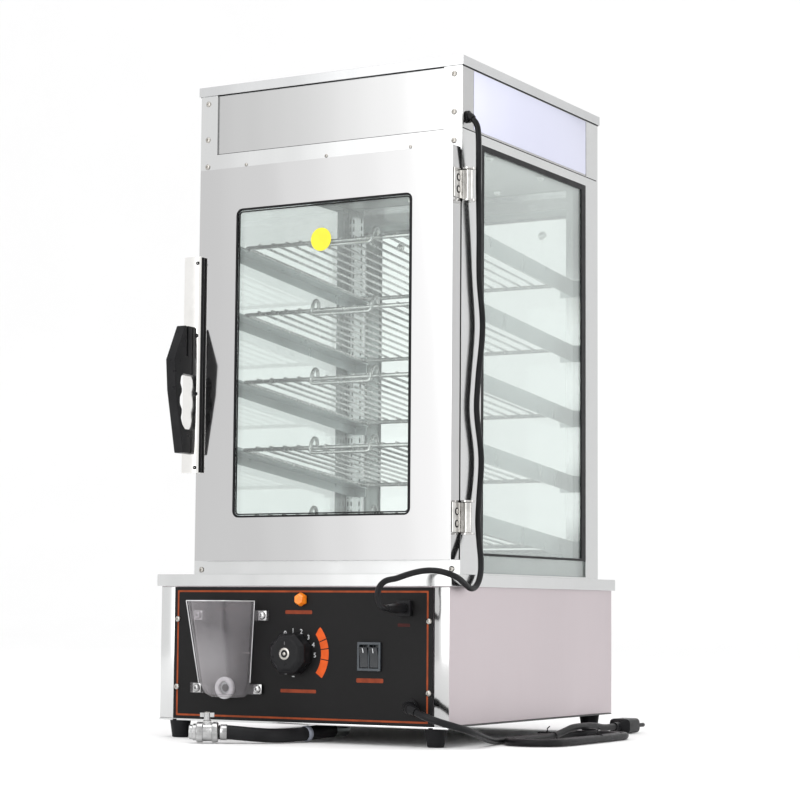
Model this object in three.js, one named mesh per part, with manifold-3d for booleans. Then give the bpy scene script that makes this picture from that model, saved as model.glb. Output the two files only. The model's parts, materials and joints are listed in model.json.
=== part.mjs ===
// Heated display case: a glazed steel cabinet on a wide base with a water tank, filler and drain.
// Millimetres. X runs across the front, Y from the front to the back, Z is height above the table.
import * as THREE from "three";
import { mergeVertices } from "three/addons/utils/BufferGeometryUtils.js";
import Module from "manifold-3d";

const wasm = await Module();
wasm.setup();

// Stock and clearances
const GAP = 0.3;
const SHEET = 1.5;
const FRONT_SHEET = 2;
const PANE = 3.7;
const PAST = 3; // how far a cutter runs past the face it opens
const WELD = 1e-4; // corners closer than this are one corner
const SAMPLES_PER_DIAMETER = 4; // along a cord, where its gap to itself is measured

// Main envelope
const TOTAL_HEIGHT = 742;
const CABINET_WIDTH = 342;
const CABINET_DEPTH = 350;
const BASE_HEIGHT = 180;
const HEAD_HEIGHT = 80; // from the seam under the head to the top of the lid
const CEILING_DROP = 10; // of the ceiling below that seam

// the feet's insets are from the housing's walls to their middles
const FOOT = { height: 20.5, top: 12, tread: 9, treadHeight: 3, sideInset: 21, frontInset: 10, rearInset: 17.7 };

const BASE = {
  width: 374, // top plate
  front: -49,
  rearReach: 15, // behind the cabinet
  rim: 2,
  rimDrop: 13,
  inset: 4, // from the top plate's edge in to the housing, at the front and the sides
  windowInset: 14, // from the panel's sides
  windowBottom: 33,
  windowDrop: 19, // from the base's top
  steamFront: 70,
  steamInset: 5, // from the tank's sides
  steamRearInset: 10, // from the tank's rear wall
};

const PANEL = { inset: 19, bottom: 21, topDrop: 14, thickness: 1.5 };

const TANK = {
  sideInset: 58, // from the housing's sides
  front: 20,
  rearInset: 62.7, // from the housing's rear wall
  bottom: 40,
  flange: 15,
  pipe: 6.5,
  pipeBore: 4.5,
  pipeEnd: 4, // how far the filler pipe reaches into the hopper past the panel
};

const DRAIN = {
  x: 8,
  y: 35,
  height: 10.5,
  radius: 7.5,
  bore: 3.2,
  spigot: 4.7,
  shoulder: 10,
  end: -1.6,
  hole: 10,
};

const ELEMENT = {
  radius: 4,
  half: 30,
  height: 60,
  turn: 100, // where the straight legs end and the bend starts
  flangeHalf: 48,
  flangeHeight: 26,
  flangeThickness: 2.5,
  hole: 5,
  stud: 14,
};

const HOPPER = {
  sideShare: 0.5463, // of the panel's half width, to the left
  wall: 2.5,
  corner: 7,
  inletLeft: 2.4, // of the hopper's middle
  inletHeight: 56,
  inletHole: 7,
  // height, width at the back, width at the front, depth
  rings: [
    [46, 40, 30, 12],
    [50, 48, 36, 21],
    [62, 56, 42, 29],
  ],
  rim: [65, 50.2, 49],
  rimDrop: 29, // from the base's top
  lugThickness: 2.5,
  lugHeight: 11,
  upperLugDrop: 16, // from the rim
  lowerLug: 55,
  // ends and roots of the lugs, from the hopper's middle
  lugReach: 50,
  lowerRightReach: 42.1,
  upperLugRoot: 29.5,
  lowerLugRoot: 21.7,
};

const KNOB = {
  sideShare: 0.0366, // of the panel's half width, to the left
  heightShare: 0.525, // of the base's height
  acrossFlats: 43,
  depth: 19.9,
  bevelDepth: 6,
  faceShare: 0.74, // across flats of the front face over the full size
  shaft: 3,
  shaftLength: 9,
  bore: 3.3,
  boreDepth: 8,
  hole: 5,
};

const THERMOSTAT = { size: 40, depth: 30, bush: 4.6, bushLength: 1.5 };

const INDICATOR = {
  sideShare: 0.0177, // of the panel's half width
  drop: 13.3, // from the panel's top
  halfWidth: 6.5,
  halfHeight: 7.5,
  shoulder: 4,
  proud: 7.7,
  faceShare: 0.7,
  shank: 4.7,
  hole: 5,
  depth: 22,
};

const ROCKER = {
  sideShare: 0.539, // of the panel's half width
  heightShare: 0.5156, // of the base's height
  bezelWidth: 28.4,
  bezelHeight: 30.5,
  bezelProud: 2.7,
  bodyWidth: 24,
  bodyHeight: 26.4,
  bodyDepth: 27,
  hole: 0.3, // clearance round the body
  cavityWidth: 11,
  cavityHeight: 24.6,
  cavityDepth: 8.4,
  pitch: 12.2,
  pivotDepth: 5.8, // behind the bezel's face
  halfHeight: 11,
  crown: 7, // from the pivot to the raised ends
  waist: 5.2, // from the pivot to the middle of the front
  shoulderHalf: 9,
  shoulder: 1.5,
  backHalf: 3,
  back: 0.5,
  tilt: 8,
};

// the lamp socket's and the mains gland's insets are from the panel's right edge
const SOCKET = { inset: 32.2, drop: 22.2, size: 16.5, proud: 5.9, shank: 11.4, hole: 0.3, depth: 9 };

const MAINS_GLAND = {
  inset: 24,
  z: 41,
  flange: 8,
  flangeDepth: 2.4,
  root: 6.4,
  tip: 4.6,
  straight: 5.3, // before the boot's bend
  bend: 14.5,
  turn: 75, // degrees that the boot turns to the right
  bendDrop: 1.8,
  stub: 6, // after the bend
  stubDrop: 2.2,
  shank: 5.6,
  hole: 6,
  depth: 8,
};

const LAMP_GLAND = {
  y: 12.6,
  rise: 14, // above the seam under the head
  flange: 6.8,
  flangeDepth: 2,
  root: 5.4,
  tip: 4.2,
  reach: 1.9, // of the first half of its elbow
  sag: 0.9,
  stub: 2.82, // of the second half, at half a right angle
  shank: 4.7,
  hole: 5,
  depth: 6,
};

const LAMP_PLUG = { radius: 5.5, body: 17, shoulder: 4.6, shoulderAt: 23, tail: 3.9, length: 34 };

const POST = {
  front: 22.5, // width of the front flange
  side: 46, // depth of the front post's side flange
  rearSide: 34, // depth of the rear post's side flange
  rearFlange: 22.5,
  pilasterInner: 142,
  pilasterOuter: 164,
  pilasterDepth: 28,
  rearLip: 134,
  stripFront: 16,
  stripRear: 42,
};

const FRAME = {
  bottomRail: 32,
  header: 38,
  topStrip: 10.4,
  floorStrip: 21,
  ledge: 20, // depth of the ledges that the ceiling rests on
};

const SIDE_GLASS = { front: 40, rearGap: 0.4, outer: 168.7, rise: 3 };

const REAR_GLASS = { half: 141.4, lap: 7.3 };

const HEAD = { recess: 2.4, stepInset: 1.8 };

const LID = { overhang: 2, drop: 10.5 };

const CEILING_LAMP = {
  hole: 35,
  flange: 40,
  flangeThickness: 2,
  body: 30,
  height: 36,
  dome: 22,
  domeDrop: 9,
  domeShoulder: 28,
  domeShoulderDrop: 4,
};

const DOOR = {
  left: -156,
  bottomGap: 15.5, // above the base
  topGap: 22, // below the seam under the head
  front: -21,
  back: -3.2,
  skin: 2.2,
  wall: 1.5,
  stile: 49.5,
  rail: 47.8,
  corner: 7.5,
  lap: 6, // how far the frame covers the pane's edge
  gasketInset: 1.5,
  gasketWidth: 8,
  drainHole: 2.5,
  drainPitch: 90,
};

const HANDLE = {
  left: -172,
  right: -149,
  bottomShare: 0.2216, // of the door's height
  topShare: 0.775,
  front: -30,
  bevel: 2,
  crown: 6, // width of the rounded part of the face at each side
  crownDrop: 0.7,
};

const GRIP = {
  left: -170,
  right: -157.5,
  bottomShare: 0.0894, // of the bar's height
  topShare: 0.6748,
  crestShare: 0.5122,
  heelShare: 0.374,
  topReach: 13.7, // out from the bar, at the top
  crestReach: 33.7,
  heelReach: 30.7,
  bottomReach: 14.7,
  slitNear: 7.7,
  slitFar: 10.7,
  slitShare: 0.5325,
  holeNear: 4.7,
  holeFar: 21.7,
  holeBottomShare: 0.1992,
  holeTopShare: 0.4472,
  holeCorner: 5,
};

const HINGE = {
  x: 177,
  y: 4,
  barrel: 5,
  bore: 2.3,
  pin: 2,
  leafFront: -20,
  leafRear: 1.6,
  leafThickness: 1.5,
  ear: 7.8,
  earThickness: 2,
  plateFront: 8,
  plateRear: 12,
  fromTop: 40.5, // of the door, to the middle of the upper barrel
  fromBottom: 45,
  height: 32,
};

const RACK = {
  count: 5,
  fromCeiling: 106, // to the top rack, half way back
  fromBase: 52.5, // up to the lowest rack, half way back
  slope: 5.6, // degrees, down towards the back
  half: 138,
  front: 48,
  rearGap: 5.8, // from the rear posts
  frameRadius: 2.5,
  wireRadius: 1.5,
  wires: 14,
  wireRise: 2.7, // from the frame rods' middle to the wires' middle
  handleRadius: 1.8,
  handleHalf: 39,
  // depth and height of the handle's bends from the front rod
  handle: [
    [1.5, 2.2],
    [0.5, 8],
    [-7, 8.5],
    [-12, 2],
    [-15, -7],
  ],
};

const RAIL = {
  inner: 133,
  web: 151,
  thickness: 1.5,
  front: 22,
  rise: 5.5, // of the end plates above the rack's middle
  drop: 14.5,
  frontPlateOuter: 162.4,
  rearPlateInner: 135,
  rearPlateOuter: 163.6,
};

const LAMP_CORD = {
  diameter: 6.4,
  step: 8,
  sides: 6,
  route: [
    [177.4, 12.6, 672.9],
    [178.9, 12.6, 671.4],
    [181.1, 12.9, 668.2],
    [182.4, 13.4, 664.6],
    [182.9, 14, 660.8],
    [182.9, 15.4, 652],
    [182.2, 17.4, 638],
    [181, 19.6, 622],
    [179.8, 21.8, 604],
    [178.8, 24.4, 580],
    [178.2, 27, 550],
    [177, 30, 500],
    [177.5, 37, 449],
    [177, 28, 390],
    [177, 25, 356],
    [177, 36, 306],
    [177.5, 30.5, 262],
    [180, 23.5, 236],
    [184.2, 18.5, 214],
    [188.6, 13.6, 197],
    [191.4, 8.2, 183.4],
    [192.4, 1.6, 172.8],
    [192.6, -7, 166.4],
    [192.8, -16.5, 165.2],
    [193, -26.5, 168],
    [193.2, -36, 171.8],
    [193.3, -42.6, 174.4],
    [191.4, -49.8, 177.4],
    [186.1, -55.1, 180.2],
    [178.9, -57, 182.2],
    [171, -58.4, 183.2],
    [163, -62.2, 183],
    [155.4, -68.6, 181.2],
    [148.5, -77, 178.2],
    [142.4, -86, 174.7],
    [136.4, -98.3, 171.7],
    [133.2, -104, 166.4],
    [132, -106.2, 159.1],
    [131.8, -104.3, 151.4],
    [131.8, -98.8, 145.8],
    [131.8, -91.4, 143.8],
    [131.8, -87.7, 143.8],
  ],
};

const MAINS_CORD = {
  diameter: 7.5,
  sides: 8,
  step: 10,
  floor: 4, // height of the cord's middle where it lies on the table
  lead: [
    [157.1, -68.2, 36.8],
    [159, -68.7, 36.1],
    [161.9, -69.4, 35.1],
    [170.9, -70.6, 32.1],
    [179.8, -69.4, 29.2],
    [188.1, -66, 26.4],
    [195.3, -60.5, 23.8],
    [200.7, -53.4, 21.2],
    [204.2, -45, 18.9],
    [205.4, -36.1, 16.6],
    [204.7, -22.1, 13.4],
    [202.6, -7.1, 10.3],
    [199.4, 8.9, 7.6],
    [196.2, 24.9, 5.4],
    [192.9, 39.9, 4.2],
    [192.3, 45, 4],
    [192.3, 54.9, 4],
  ],
  loops: 2,
  loopSteps: 11, // in each half turn
  hankSides: 6,
  hankX: 231,
  hankY: 135.5,
  run: 145,
  outer: 38.7,
  pitch: 8.1,
  tailStep: 13,
  // depth and height of the tail's bends from the last loop's start
  tail: [
    [20, 0],
    [45, 0],
    [70, 0.2],
    [95, 1.8],
    [117, 5.2],
    [134, 7.8],
    [149, 8.6],
    [165, 8.7],
    [181, 8.6],
    [197, 7.8],
    [214, 5.6],
    [228, 4.7],
    [240, 4.7],
    [249, 4.7],
  ],
};

const MAINS_PLUG = {
  neck: 5,
  neckLength: 12,
  width: 26,
  height: 17,
  corner: 5,
  length: 34,
  pin: 2.4,
  pinLength: 18,
  pinPitch: 19,
};

const DRAIN_HOSE = {
  radius: 7.5,
  bore: 5,
  boreDepth: 12,
  sides: 12,
  step: 11,
  route: [
    [8, 9.7, 10.5],
    [8, -5, 10.5],
    [8, -14.4, 10.3],
    [7.5, -24.9, 9.9],
    [5.8, -35.2, 9.3],
    [3.1, -45.3, 8.7],
    [-0.6, -55.1, 8.2],
    [-5.4, -64.4, 7.9],
    [-11.1, -73.2, 7.8],
    [-17.7, -81.3, 8.2],
    [-25.1, -88.7, 8.9],
    [-33.2, -95.3, 9.8],
    [-42, -101, 10.7],
    [-48.1, -104.5, 11.3],
    [-54.1, -108, 11.5],
    [-59.32, -111, 11.5],
  ],
};

// The valve carries on from the hose's end, and its lengths are from there.
const VALVE = {
  turn: 30, // degrees from straight left, towards the front
  body: 11,
  bodyLength: 23,
  collar: 9,
  collarEnd: 27,
  nose: 7.8,
  length: 31,
  outlet: 4.2,
  outletDepth: 14,
  barb: 4.7,
  barbLength: 10,
  bonnetAt: 12,
  bonnet: 5.2,
  bonnetTop: 12.4, // above the valve's middle
};

const LEVER = { stem: 3.5, height: 3.2, tabLength: 15, tabWidth: 3.2, tabHeight: 4.6 };

// sides of round shapes by size, and the steps of a boot's bend
const SIDES = { round: 32, small: 16, fine: 12, rod: 8, wire: 6, bend: 5 };

const FINISH = {
  steel: { color: 0xc8cacd, metalness: 1, roughness: 0.28 },
  chrome: { color: 0xe2e4e6, metalness: 1, roughness: 0.1 },
  wire: { color: 0xd5d5d5, metalness: 1, roughness: 0.22 },
  glass: { color: 0xdfeee8, metalness: 0, roughness: 0.05, transparent: true, opacity: 0.3 },
  clear: { color: 0xe9eef0, metalness: 0, roughness: 0.12, transparent: true, opacity: 0.5 },
  black: { color: 0x1a1a1b, metalness: 0, roughness: 0.5 },
  rubber: { color: 0x161616, metalness: 0, roughness: 0.75 },
  amber: { color: 0xe36a22, metalness: 0, roughness: 0.25 },
  opal: { color: 0xf3ead6, metalness: 0, roughness: 0.4 },
};

const X_AXIS = new THREE.Vector3(1, 0, 0);
const Y_AXIS = new THREE.Vector3(0, 1, 0);
const Z_AXIS = new THREE.Vector3(0, 0, 1);
const VALVE_TURN = THREE.MathUtils.degToRad(VALVE.turn);
const ALONG_VALVE = new THREE.Vector3(-Math.cos(VALVE_TURN), -Math.sin(VALVE_TURN), 0);
const ACROSS_VALVE = new THREE.Vector3(Math.sin(VALVE_TURN), -Math.cos(VALVE_TURN), 0);
const PLANES = {
  xy: [X_AXIS, Y_AXIS, Z_AXIS],
  xz: [X_AXIS, Z_AXIS, Y_AXIS],
  yz: [Y_AXIS, Z_AXIS, X_AXIS],
  valve: [ACROSS_VALVE, Z_AXIS, ALONG_VALVE],
};

// Shape helpers

// Closed solid of a three.js geometry, faces turned outwards.
function solid(geometry) {
  geometry.deleteAttribute("normal");
  geometry.deleteAttribute("uv");
  const merged = mergeVertices(geometry, WELD);
  const corners = new Uint32Array(merged.index.array);
  const vertProperties = merged.attributes.position.array;
  const build = () => new wasm.Manifold(new wasm.Mesh({ numProp: 3, vertProperties, triVerts: corners }));
  const made = build();
  if (made.volume() > 0) return made;
  for (let i = 0; i < corners.length; i += 3) {
    [corners[i + 1], corners[i + 2]] = [corners[i + 2], corners[i + 1]];
  }
  return build();
}

function join(first, ...others) {
  return others.reduce((sum, other) => sum.add(other), first);
}

function cut(body, ...tools) {
  return tools.reduce((rest, tool) => rest.subtract(tool), body);
}

// Box between pairs of X, Y and Z values.
function box(x, y, z) {
  const geometry = new THREE.BoxGeometry(x[1] - x[0], y[1] - y[0], z[1] - z[0]);
  geometry.translate((x[0] + x[1]) / 2, (y[0] + y[1]) / 2, (z[0] + z[1]) / 2);
  return solid(geometry);
}

// Outline drawn in a plane and run straight through from one depth to another.
function prism(plane, outline, from, to) {
  const shape = new THREE.Shape(outline.map(([a, b]) => new THREE.Vector2(a, b)));
  const geometry = new THREE.ExtrudeGeometry(shape, { depth: to - from, bevelEnabled: false });
  geometry.translate(0, 0, from);
  geometry.applyMatrix4(new THREE.Matrix4().makeBasis(...PLANES[plane]));
  return solid(geometry);
}

function circle([a, b], radius, sides) {
  return Array.from({ length: sides }, (_, i) => {
    const angle = ((i + 0.5) / sides) * 2 * Math.PI;
    return [a + radius * Math.cos(angle), b + radius * Math.sin(angle)];
  });
}

// Round bar square to a plane.
function rod(plane, centre, radius, from, to, sides = SIDES.small) {
  return prism(plane, circle(centre, radius, sides), from, to);
}

// Rectangle with round corners.
function rounded(a, b, radius, steps = 4) {
  const corners = [
    [a[1] - radius, b[1] - radius],
    [a[0] + radius, b[1] - radius],
    [a[0] + radius, b[0] + radius],
    [a[1] - radius, b[0] + radius],
  ];
  return corners.flatMap(([ca, cb], quarter) =>
    Array.from({ length: steps + 1 }, (_, i) => {
      const angle = ((quarter + i / steps) * Math.PI) / 2;
      return [ca + radius * Math.cos(angle), cb + radius * Math.sin(angle)];
    }),
  );
}

// Closed skin over rings of points, each with the same number.
function skin(rings) {
  const sides = rings[0].length;
  const points = rings.flat().flatMap((point) => point.toArray());
  const faces = [];
  for (let ring = 0; ring + 1 < rings.length; ring += 1) {
    for (let i = 0; i < sides; i += 1) {
      const a = ring * sides + i;
      const b = ring * sides + ((i + 1) % sides);
      faces.push(a, b, b + sides, a, b + sides, a + sides);
    }
  }
  const last = (rings.length - 1) * sides;
  for (let i = 1; i + 1 < sides; i += 1) {
    faces.push(0, i + 1, i, last, last + i, last + i + 1);
  }
  const geometry = new THREE.BufferGeometry();
  geometry.setAttribute("position", new THREE.Float32BufferAttribute(points, 3));
  geometry.setIndex(faces);
  return solid(geometry);
}

// Skin over outlines that lie at given depths from a plane.
function loft(plane, stations) {
  const basis = new THREE.Matrix4().makeBasis(...PLANES[plane]);
  const ringAt = ([depth, outline]) => outline.map(([a, b]) => new THREE.Vector3(a, b, depth).applyMatrix4(basis));
  return skin(stations.map(ringAt));
}

// Round body square to a plane from pairs of depth and radius.
function turned(plane, centre, profile, sides = SIDES.round) {
  return loft(plane, profile.map(([depth, radius]) => [depth, circle(centre, radius, sides)]));
}

// Route whose given points are the tube's own stations.
class Stations extends THREE.Curve {
  constructor(points) {
    super();
    this.points = points;
  }

  getPoint(t, target = new THREE.Vector3()) {
    const at = Math.min(Math.round(t * (this.points.length - 1)), this.points.length - 1);
    return target.copy(this.points[at]);
  }

  getPointAt(u, target) {
    return this.getPoint(u, target);
  }

  getTangentAt(u, target = new THREE.Vector3()) {
    const last = this.points.length - 1;
    const at = Math.round(u * last);
    const before = this.points[Math.max(at - 1, 0)];
    const after = this.points[Math.min(at + 1, last)];
    return target.subVectors(after, before).normalize();
  }
}

// Round tube through the given points.
function tube(points, radius, sides) {
  const shape = new THREE.Shape(circle([0, 0], radius, sides).map(([a, b]) => new THREE.Vector2(a, b)));
  const extrudePath = new Stations(points);
  return solid(new THREE.ExtrudeGeometry(shape, { steps: points.length - 1, extrudePath }));
}

// Round boot through the given points, from one radius to another.
function boot(points, root, tip, sides) {
  const last = points.length - 1;
  const frames = new Stations(points).computeFrenetFrames(last, false);
  return skin(
    points.map((point, i) =>
      circle([0, 0], root + ((tip - root) * i) / last, sides).map(([a, b]) =>
        point.clone().addScaledVector(frames.normals[i], a).addScaledVector(frames.binormals[i], b),
      ),
    ),
  );
}

// Even stations along a smooth line through a route of bends, with its first and last stretch straight.
function smooth(route, step) {
  const bends = route.map((point) => new THREE.Vector3(...point));
  const curve = new THREE.CatmullRomCurve3(bends.slice(1, -1), false, "centripetal");
  const stations = curve.getSpacedPoints(Math.round(curve.getLength() / step));
  return [bends[0], ...stations, bends[bends.length - 1]];
}

function straight(from, to, radius, sides) {
  return tube([new THREE.Vector3(...from), new THREE.Vector3(...to)], radius, sides);
}

// Heights and planes that several pieces share
const cabinetHalf = CABINET_WIDTH / 2;
const baseHalf = BASE.width / 2;
const housingHalf = baseHalf - BASE.inset;
const housingFront = BASE.front + BASE.inset;
const baseRear = CABINET_DEPTH + BASE.rearReach;
const housingRear = baseRear - BASE.rim - GAP;
const bottomSheet = [FOOT.height + GAP, FOOT.height + GAP + SHEET];
const topSheet = [BASE_HEIGHT - BASE.rim, BASE_HEIGHT];
const panelHalf = housingHalf - PANEL.inset;
const panelTop = BASE_HEIGHT - PANEL.topDrop;
const hopperX = -HOPPER.sideShare * panelHalf;
const hopperRim = BASE_HEIGHT - HOPPER.rimDrop;
const inlet = [hopperX - HOPPER.inletLeft, HOPPER.inletHeight];
const knobPlace = [-KNOB.sideShare * panelHalf, KNOB.heightShare * BASE_HEIGHT];
const indicatorPlace = [INDICATOR.sideShare * panelHalf, panelTop - INDICATOR.drop];
const rockerPlace = [ROCKER.sideShare * panelHalf, ROCKER.heightShare * BASE_HEIGHT];
const socketPlace = [panelHalf - SOCKET.inset, panelTop - SOCKET.drop];
const mainsPlace = [panelHalf - MAINS_GLAND.inset, MAINS_GLAND.z];
const tankHalf = housingHalf - TANK.sideInset;
const tankRear = housingRear - TANK.rearInset;
const panelBack = housingFront - GAP;
const panelFace = panelBack - PANEL.thickness;
const mounted = panelFace - GAP; // the plane that pieces on the panel start from
const cabinetBottom = BASE_HEIGHT + GAP;
const headSeam = TOTAL_HEIGHT - HEAD_HEIGHT;
const ceiling = headSeam - CEILING_DROP;
const headerBottom = headSeam - FRAME.header;
const pilasterFront = CABINET_DEPTH - POST.pilasterDepth;
const doorHeights = [BASE_HEIGHT + DOOR.bottomGap, headSeam - DOOR.topGap];
const doorHeight = doorHeights[1] - doorHeights[0];
const sheetTop = TOTAL_HEIGHT - SHEET;
const cabinetTop = sheetTop - GAP;
const paneInner = SIDE_GLASS.outer - PANE;

function feet() {
  const profile = [
    [0, FOOT.tread],
    [FOOT.treadHeight, FOOT.tread + GAP],
    [FOOT.height, FOOT.top],
  ];
  const front = housingFront + FOOT.frontInset;
  const rear = housingRear - FOOT.rearInset;
  const places = { front_left: [-1, front], front_right: [1, front] };
  Object.assign(places, { rear_left: [-1, rear], rear_right: [1, rear] });
  return Object.entries(places).map(([place, [side, y]]) => [
    `foot_${place}`,
    turned("xy", [side * (housingHalf - FOOT.sideInset), y], profile, SIDES.small),
    "rubber",
  ]);
}

function base() {
  const outline = [
    [-housingHalf, housingHalf],
    [housingFront, housingRear],
  ];
  const walls = [bottomSheet[1] + GAP, topSheet[0] - GAP];
  const inside = [
    [-housingHalf + SHEET, housingHalf - SHEET],
    [housingFront + SHEET, housingRear - SHEET],
  ];
  const bottomPlate = cut(
    box(...outline, bottomSheet),
    rod("xy", [DRAIN.x, DRAIN.y], DRAIN.hole, bottomSheet[0] - PAST, bottomSheet[1] + PAST, SIDES.round),
  );
  const housing = cut(
    box(...outline, walls),
    box(...inside, [walls[0] - PAST, walls[1] + PAST]),
    box(
      [-panelHalf + BASE.windowInset, panelHalf - BASE.windowInset],
      [housingFront - PAST, housingFront + PAST],
      [BASE.windowBottom, BASE_HEIGHT - BASE.windowDrop],
    ),
  );
  const topPlate = cut(
    box([-baseHalf, baseHalf], [BASE.front, baseRear], [BASE_HEIGHT - BASE.rimDrop, BASE_HEIGHT]),
    box(
      [-baseHalf + BASE.rim, baseHalf - BASE.rim],
      [BASE.front + BASE.rim, baseRear - BASE.rim],
      [BASE_HEIGHT - BASE.rimDrop - PAST, topSheet[0]],
    ),
    box(
      [-tankHalf + BASE.steamInset, tankHalf - BASE.steamInset],
      [BASE.steamFront, tankRear - BASE.steamRearInset],
      [topSheet[0] - PAST, topSheet[1] + PAST],
    ),
  );
  return [
    ["base_bottom_plate", bottomPlate, "steel"],
    ["base_housing", housing, "steel"],
    ["base_top_plate", topPlate, "steel"],
  ];
}

function controlPanel() {
  const through = [panelFace - PAST, panelBack + PAST];
  const round = (place, radius) => rod("xz", place, radius, ...through, SIDES.round);
  const square = ([x, z], width, height) =>
    box([x - width / 2, x + width / 2], through, [z - height / 2, z + height / 2]);
  const rockerWidth = ROCKER.bodyWidth + 2 * ROCKER.hole;
  const rockerHeight = ROCKER.bodyHeight + 2 * ROCKER.hole;
  const socketHole = SOCKET.shank + 2 * SOCKET.hole;
  const panel = cut(
    box([-panelHalf, panelHalf], [panelFace, panelBack], [PANEL.bottom, panelTop]),
    round(inlet, HOPPER.inletHole),
    round(knobPlace, KNOB.hole),
    round(indicatorPlace, INDICATOR.hole),
    round(mainsPlace, MAINS_GLAND.hole),
    square(rockerPlace, rockerWidth, rockerHeight),
    square(socketPlace, socketHole, socketHole),
  );
  return [["control_panel", panel, "steel"]];
}

function waterTank() {
  const flange = [topSheet[0] - GAP - SHEET, topSheet[0] - GAP];
  const pipeEnd = panelFace - TANK.pipeEnd;
  const pan = join(
    box([-tankHalf, tankHalf], [TANK.front, tankRear], [TANK.bottom, flange[1]]),
    box(
      [-tankHalf - TANK.flange, tankHalf + TANK.flange],
      [TANK.front - TANK.flange, tankRear + TANK.flange],
      flange,
    ),
    rod("xz", inlet, TANK.pipe, pipeEnd, TANK.front + SHEET),
    rod("xy", [DRAIN.x, DRAIN.y], DRAIN.radius, DRAIN.height, TANK.bottom + SHEET),
    rod("xz", [DRAIN.x, DRAIN.height], DRAIN.radius, DRAIN.shoulder, DRAIN.y),
    rod("xz", [DRAIN.x, DRAIN.height], DRAIN.spigot, DRAIN.end, DRAIN.shoulder + SHEET),
    turned("xz", [DRAIN.x, DRAIN.height], [
      [DRAIN.y - WELD, DRAIN.radius],
      [DRAIN.y + DRAIN.radius / 2, (DRAIN.radius * Math.sqrt(3)) / 2],
      [DRAIN.y + (DRAIN.radius * 7) / 8, DRAIN.radius / 2],
    ], SIDES.small),
  );
  const studs = [-1, 1].map((side) =>
    rod("xz", [side * ELEMENT.half, ELEMENT.height], ELEMENT.hole, tankRear - PAST, tankRear + PAST),
  );
  const tank = cut(
    pan,
    box(
      [-tankHalf + SHEET, tankHalf - SHEET],
      [TANK.front + SHEET, tankRear - SHEET],
      [TANK.bottom + SHEET, flange[1] + PAST],
    ),
    rod("xz", inlet, TANK.pipeBore, pipeEnd - PAST, TANK.front + PAST),
    rod("xy", [DRAIN.x, DRAIN.y], DRAIN.bore, DRAIN.height, TANK.bottom + PAST),
    rod("xz", [DRAIN.x, DRAIN.height], DRAIN.bore, DRAIN.end - PAST, DRAIN.y),
    ...studs,
  );
  return [["water_tank", tank, "steel"]];
}

function heatingElement() {
  const flangeBack = tankRear - SHEET - GAP;
  const flangeFront = flangeBack - ELEMENT.flangeThickness;
  const legs = [-1, 1].map((side) =>
    rod("xz", [side * ELEMENT.half, ELEMENT.height], ELEMENT.radius, ELEMENT.turn, tankRear + ELEMENT.stud),
  );
  const bend = Array.from({ length: SIDES.fine + 1 }, (_, i) => {
    const angle = (i / SIDES.fine) * Math.PI;
    return new THREE.Vector3(
      ELEMENT.half * Math.cos(angle),
      ELEMENT.turn - ELEMENT.half * Math.sin(angle),
      ELEMENT.height,
    );
  });
  const runIn = new THREE.Vector3(0, ELEMENT.radius / 2, 0);
  const stations = [bend[0].clone().add(runIn), ...bend, bend[SIDES.fine].clone().add(runIn)];
  const plate = box(
    [-ELEMENT.flangeHalf, ELEMENT.flangeHalf],
    [flangeFront, flangeBack],
    [ELEMENT.height - ELEMENT.flangeHeight / 2, ELEMENT.height + ELEMENT.flangeHeight / 2],
  );
  return [["heating_element", join(plate, ...legs, tube(stations, ELEMENT.radius, SIDES.small)), "steel"]];
}

// Outline of the hopper at one height: straight back, round front corners, seen from above.
function hopperOutline(back, front, depth, inset) {
  const rear = mounted - inset;
  const nose = mounted - depth + inset;
  const lean = (back - front) / 2 / depth;
  const halfAt = (y) => back / 2 - inset - (mounted - y) * lean;
  const corner = Math.min(HOPPER.corner, (rear - nose) / 2);
  const turn = nose + corner;
  const round = [1, 2, 3].map((i) => (i * Math.PI) / 8);
  const left = round.map((angle) => [
    hopperX - halfAt(turn) + corner * (1 - Math.cos(angle)),
    turn - corner * Math.sin(angle),
  ]);
  const right = round.map((angle) => [
    hopperX + halfAt(turn) - corner * (1 - Math.cos(angle)),
    turn - corner * Math.sin(angle),
  ]);
  return [
    [hopperX + halfAt(rear), rear],
    [hopperX - halfAt(rear), rear],
    [hopperX - halfAt(turn), turn],
    ...left,
    [hopperX - halfAt(turn) + corner, nose],
    [hopperX + halfAt(turn) - corner, nose],
    ...right.reverse(),
    [hopperX + halfAt(turn), turn],
  ];
}

function hopper() {
  const rings = [...HOPPER.rings, [hopperRim, ...HOPPER.rim]];
  const outer = rings.map(([z, ...size]) => [z, hopperOutline(...size, 0)]);
  const inner = rings.map(([z, ...size]) => [z, hopperOutline(...size, HOPPER.wall)]);
  inner[0][0] += HOPPER.wall;
  inner[inner.length - 1][0] += PAST;
  const upperLug = hopperRim - HOPPER.upperLugDrop;
  const lug = (height, from, to) =>
    box([hopperX + from, hopperX + to], [mounted - HOPPER.lugThickness, mounted], [
      height - HOPPER.lugHeight / 2,
      height + HOPPER.lugHeight / 2,
    ]);
  const shell = join(
    loft("xy", outer),
    lug(upperLug, -HOPPER.lugReach, -HOPPER.upperLugRoot),
    lug(HOPPER.lowerLug, -HOPPER.lugReach, -HOPPER.lowerLugRoot),
    lug(upperLug, HOPPER.upperLugRoot, HOPPER.lugReach),
    lug(HOPPER.lowerLug, HOPPER.lowerLugRoot, HOPPER.lowerRightReach),
  );
  const body = cut(
    shell,
    loft("xy", inner),
    rod("xz", inlet, HOPPER.inletHole, mounted - HOPPER.wall - GAP, mounted + PAST, SIDES.round),
  );
  return [["filler_hopper", body, "clear"]];
}

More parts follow.
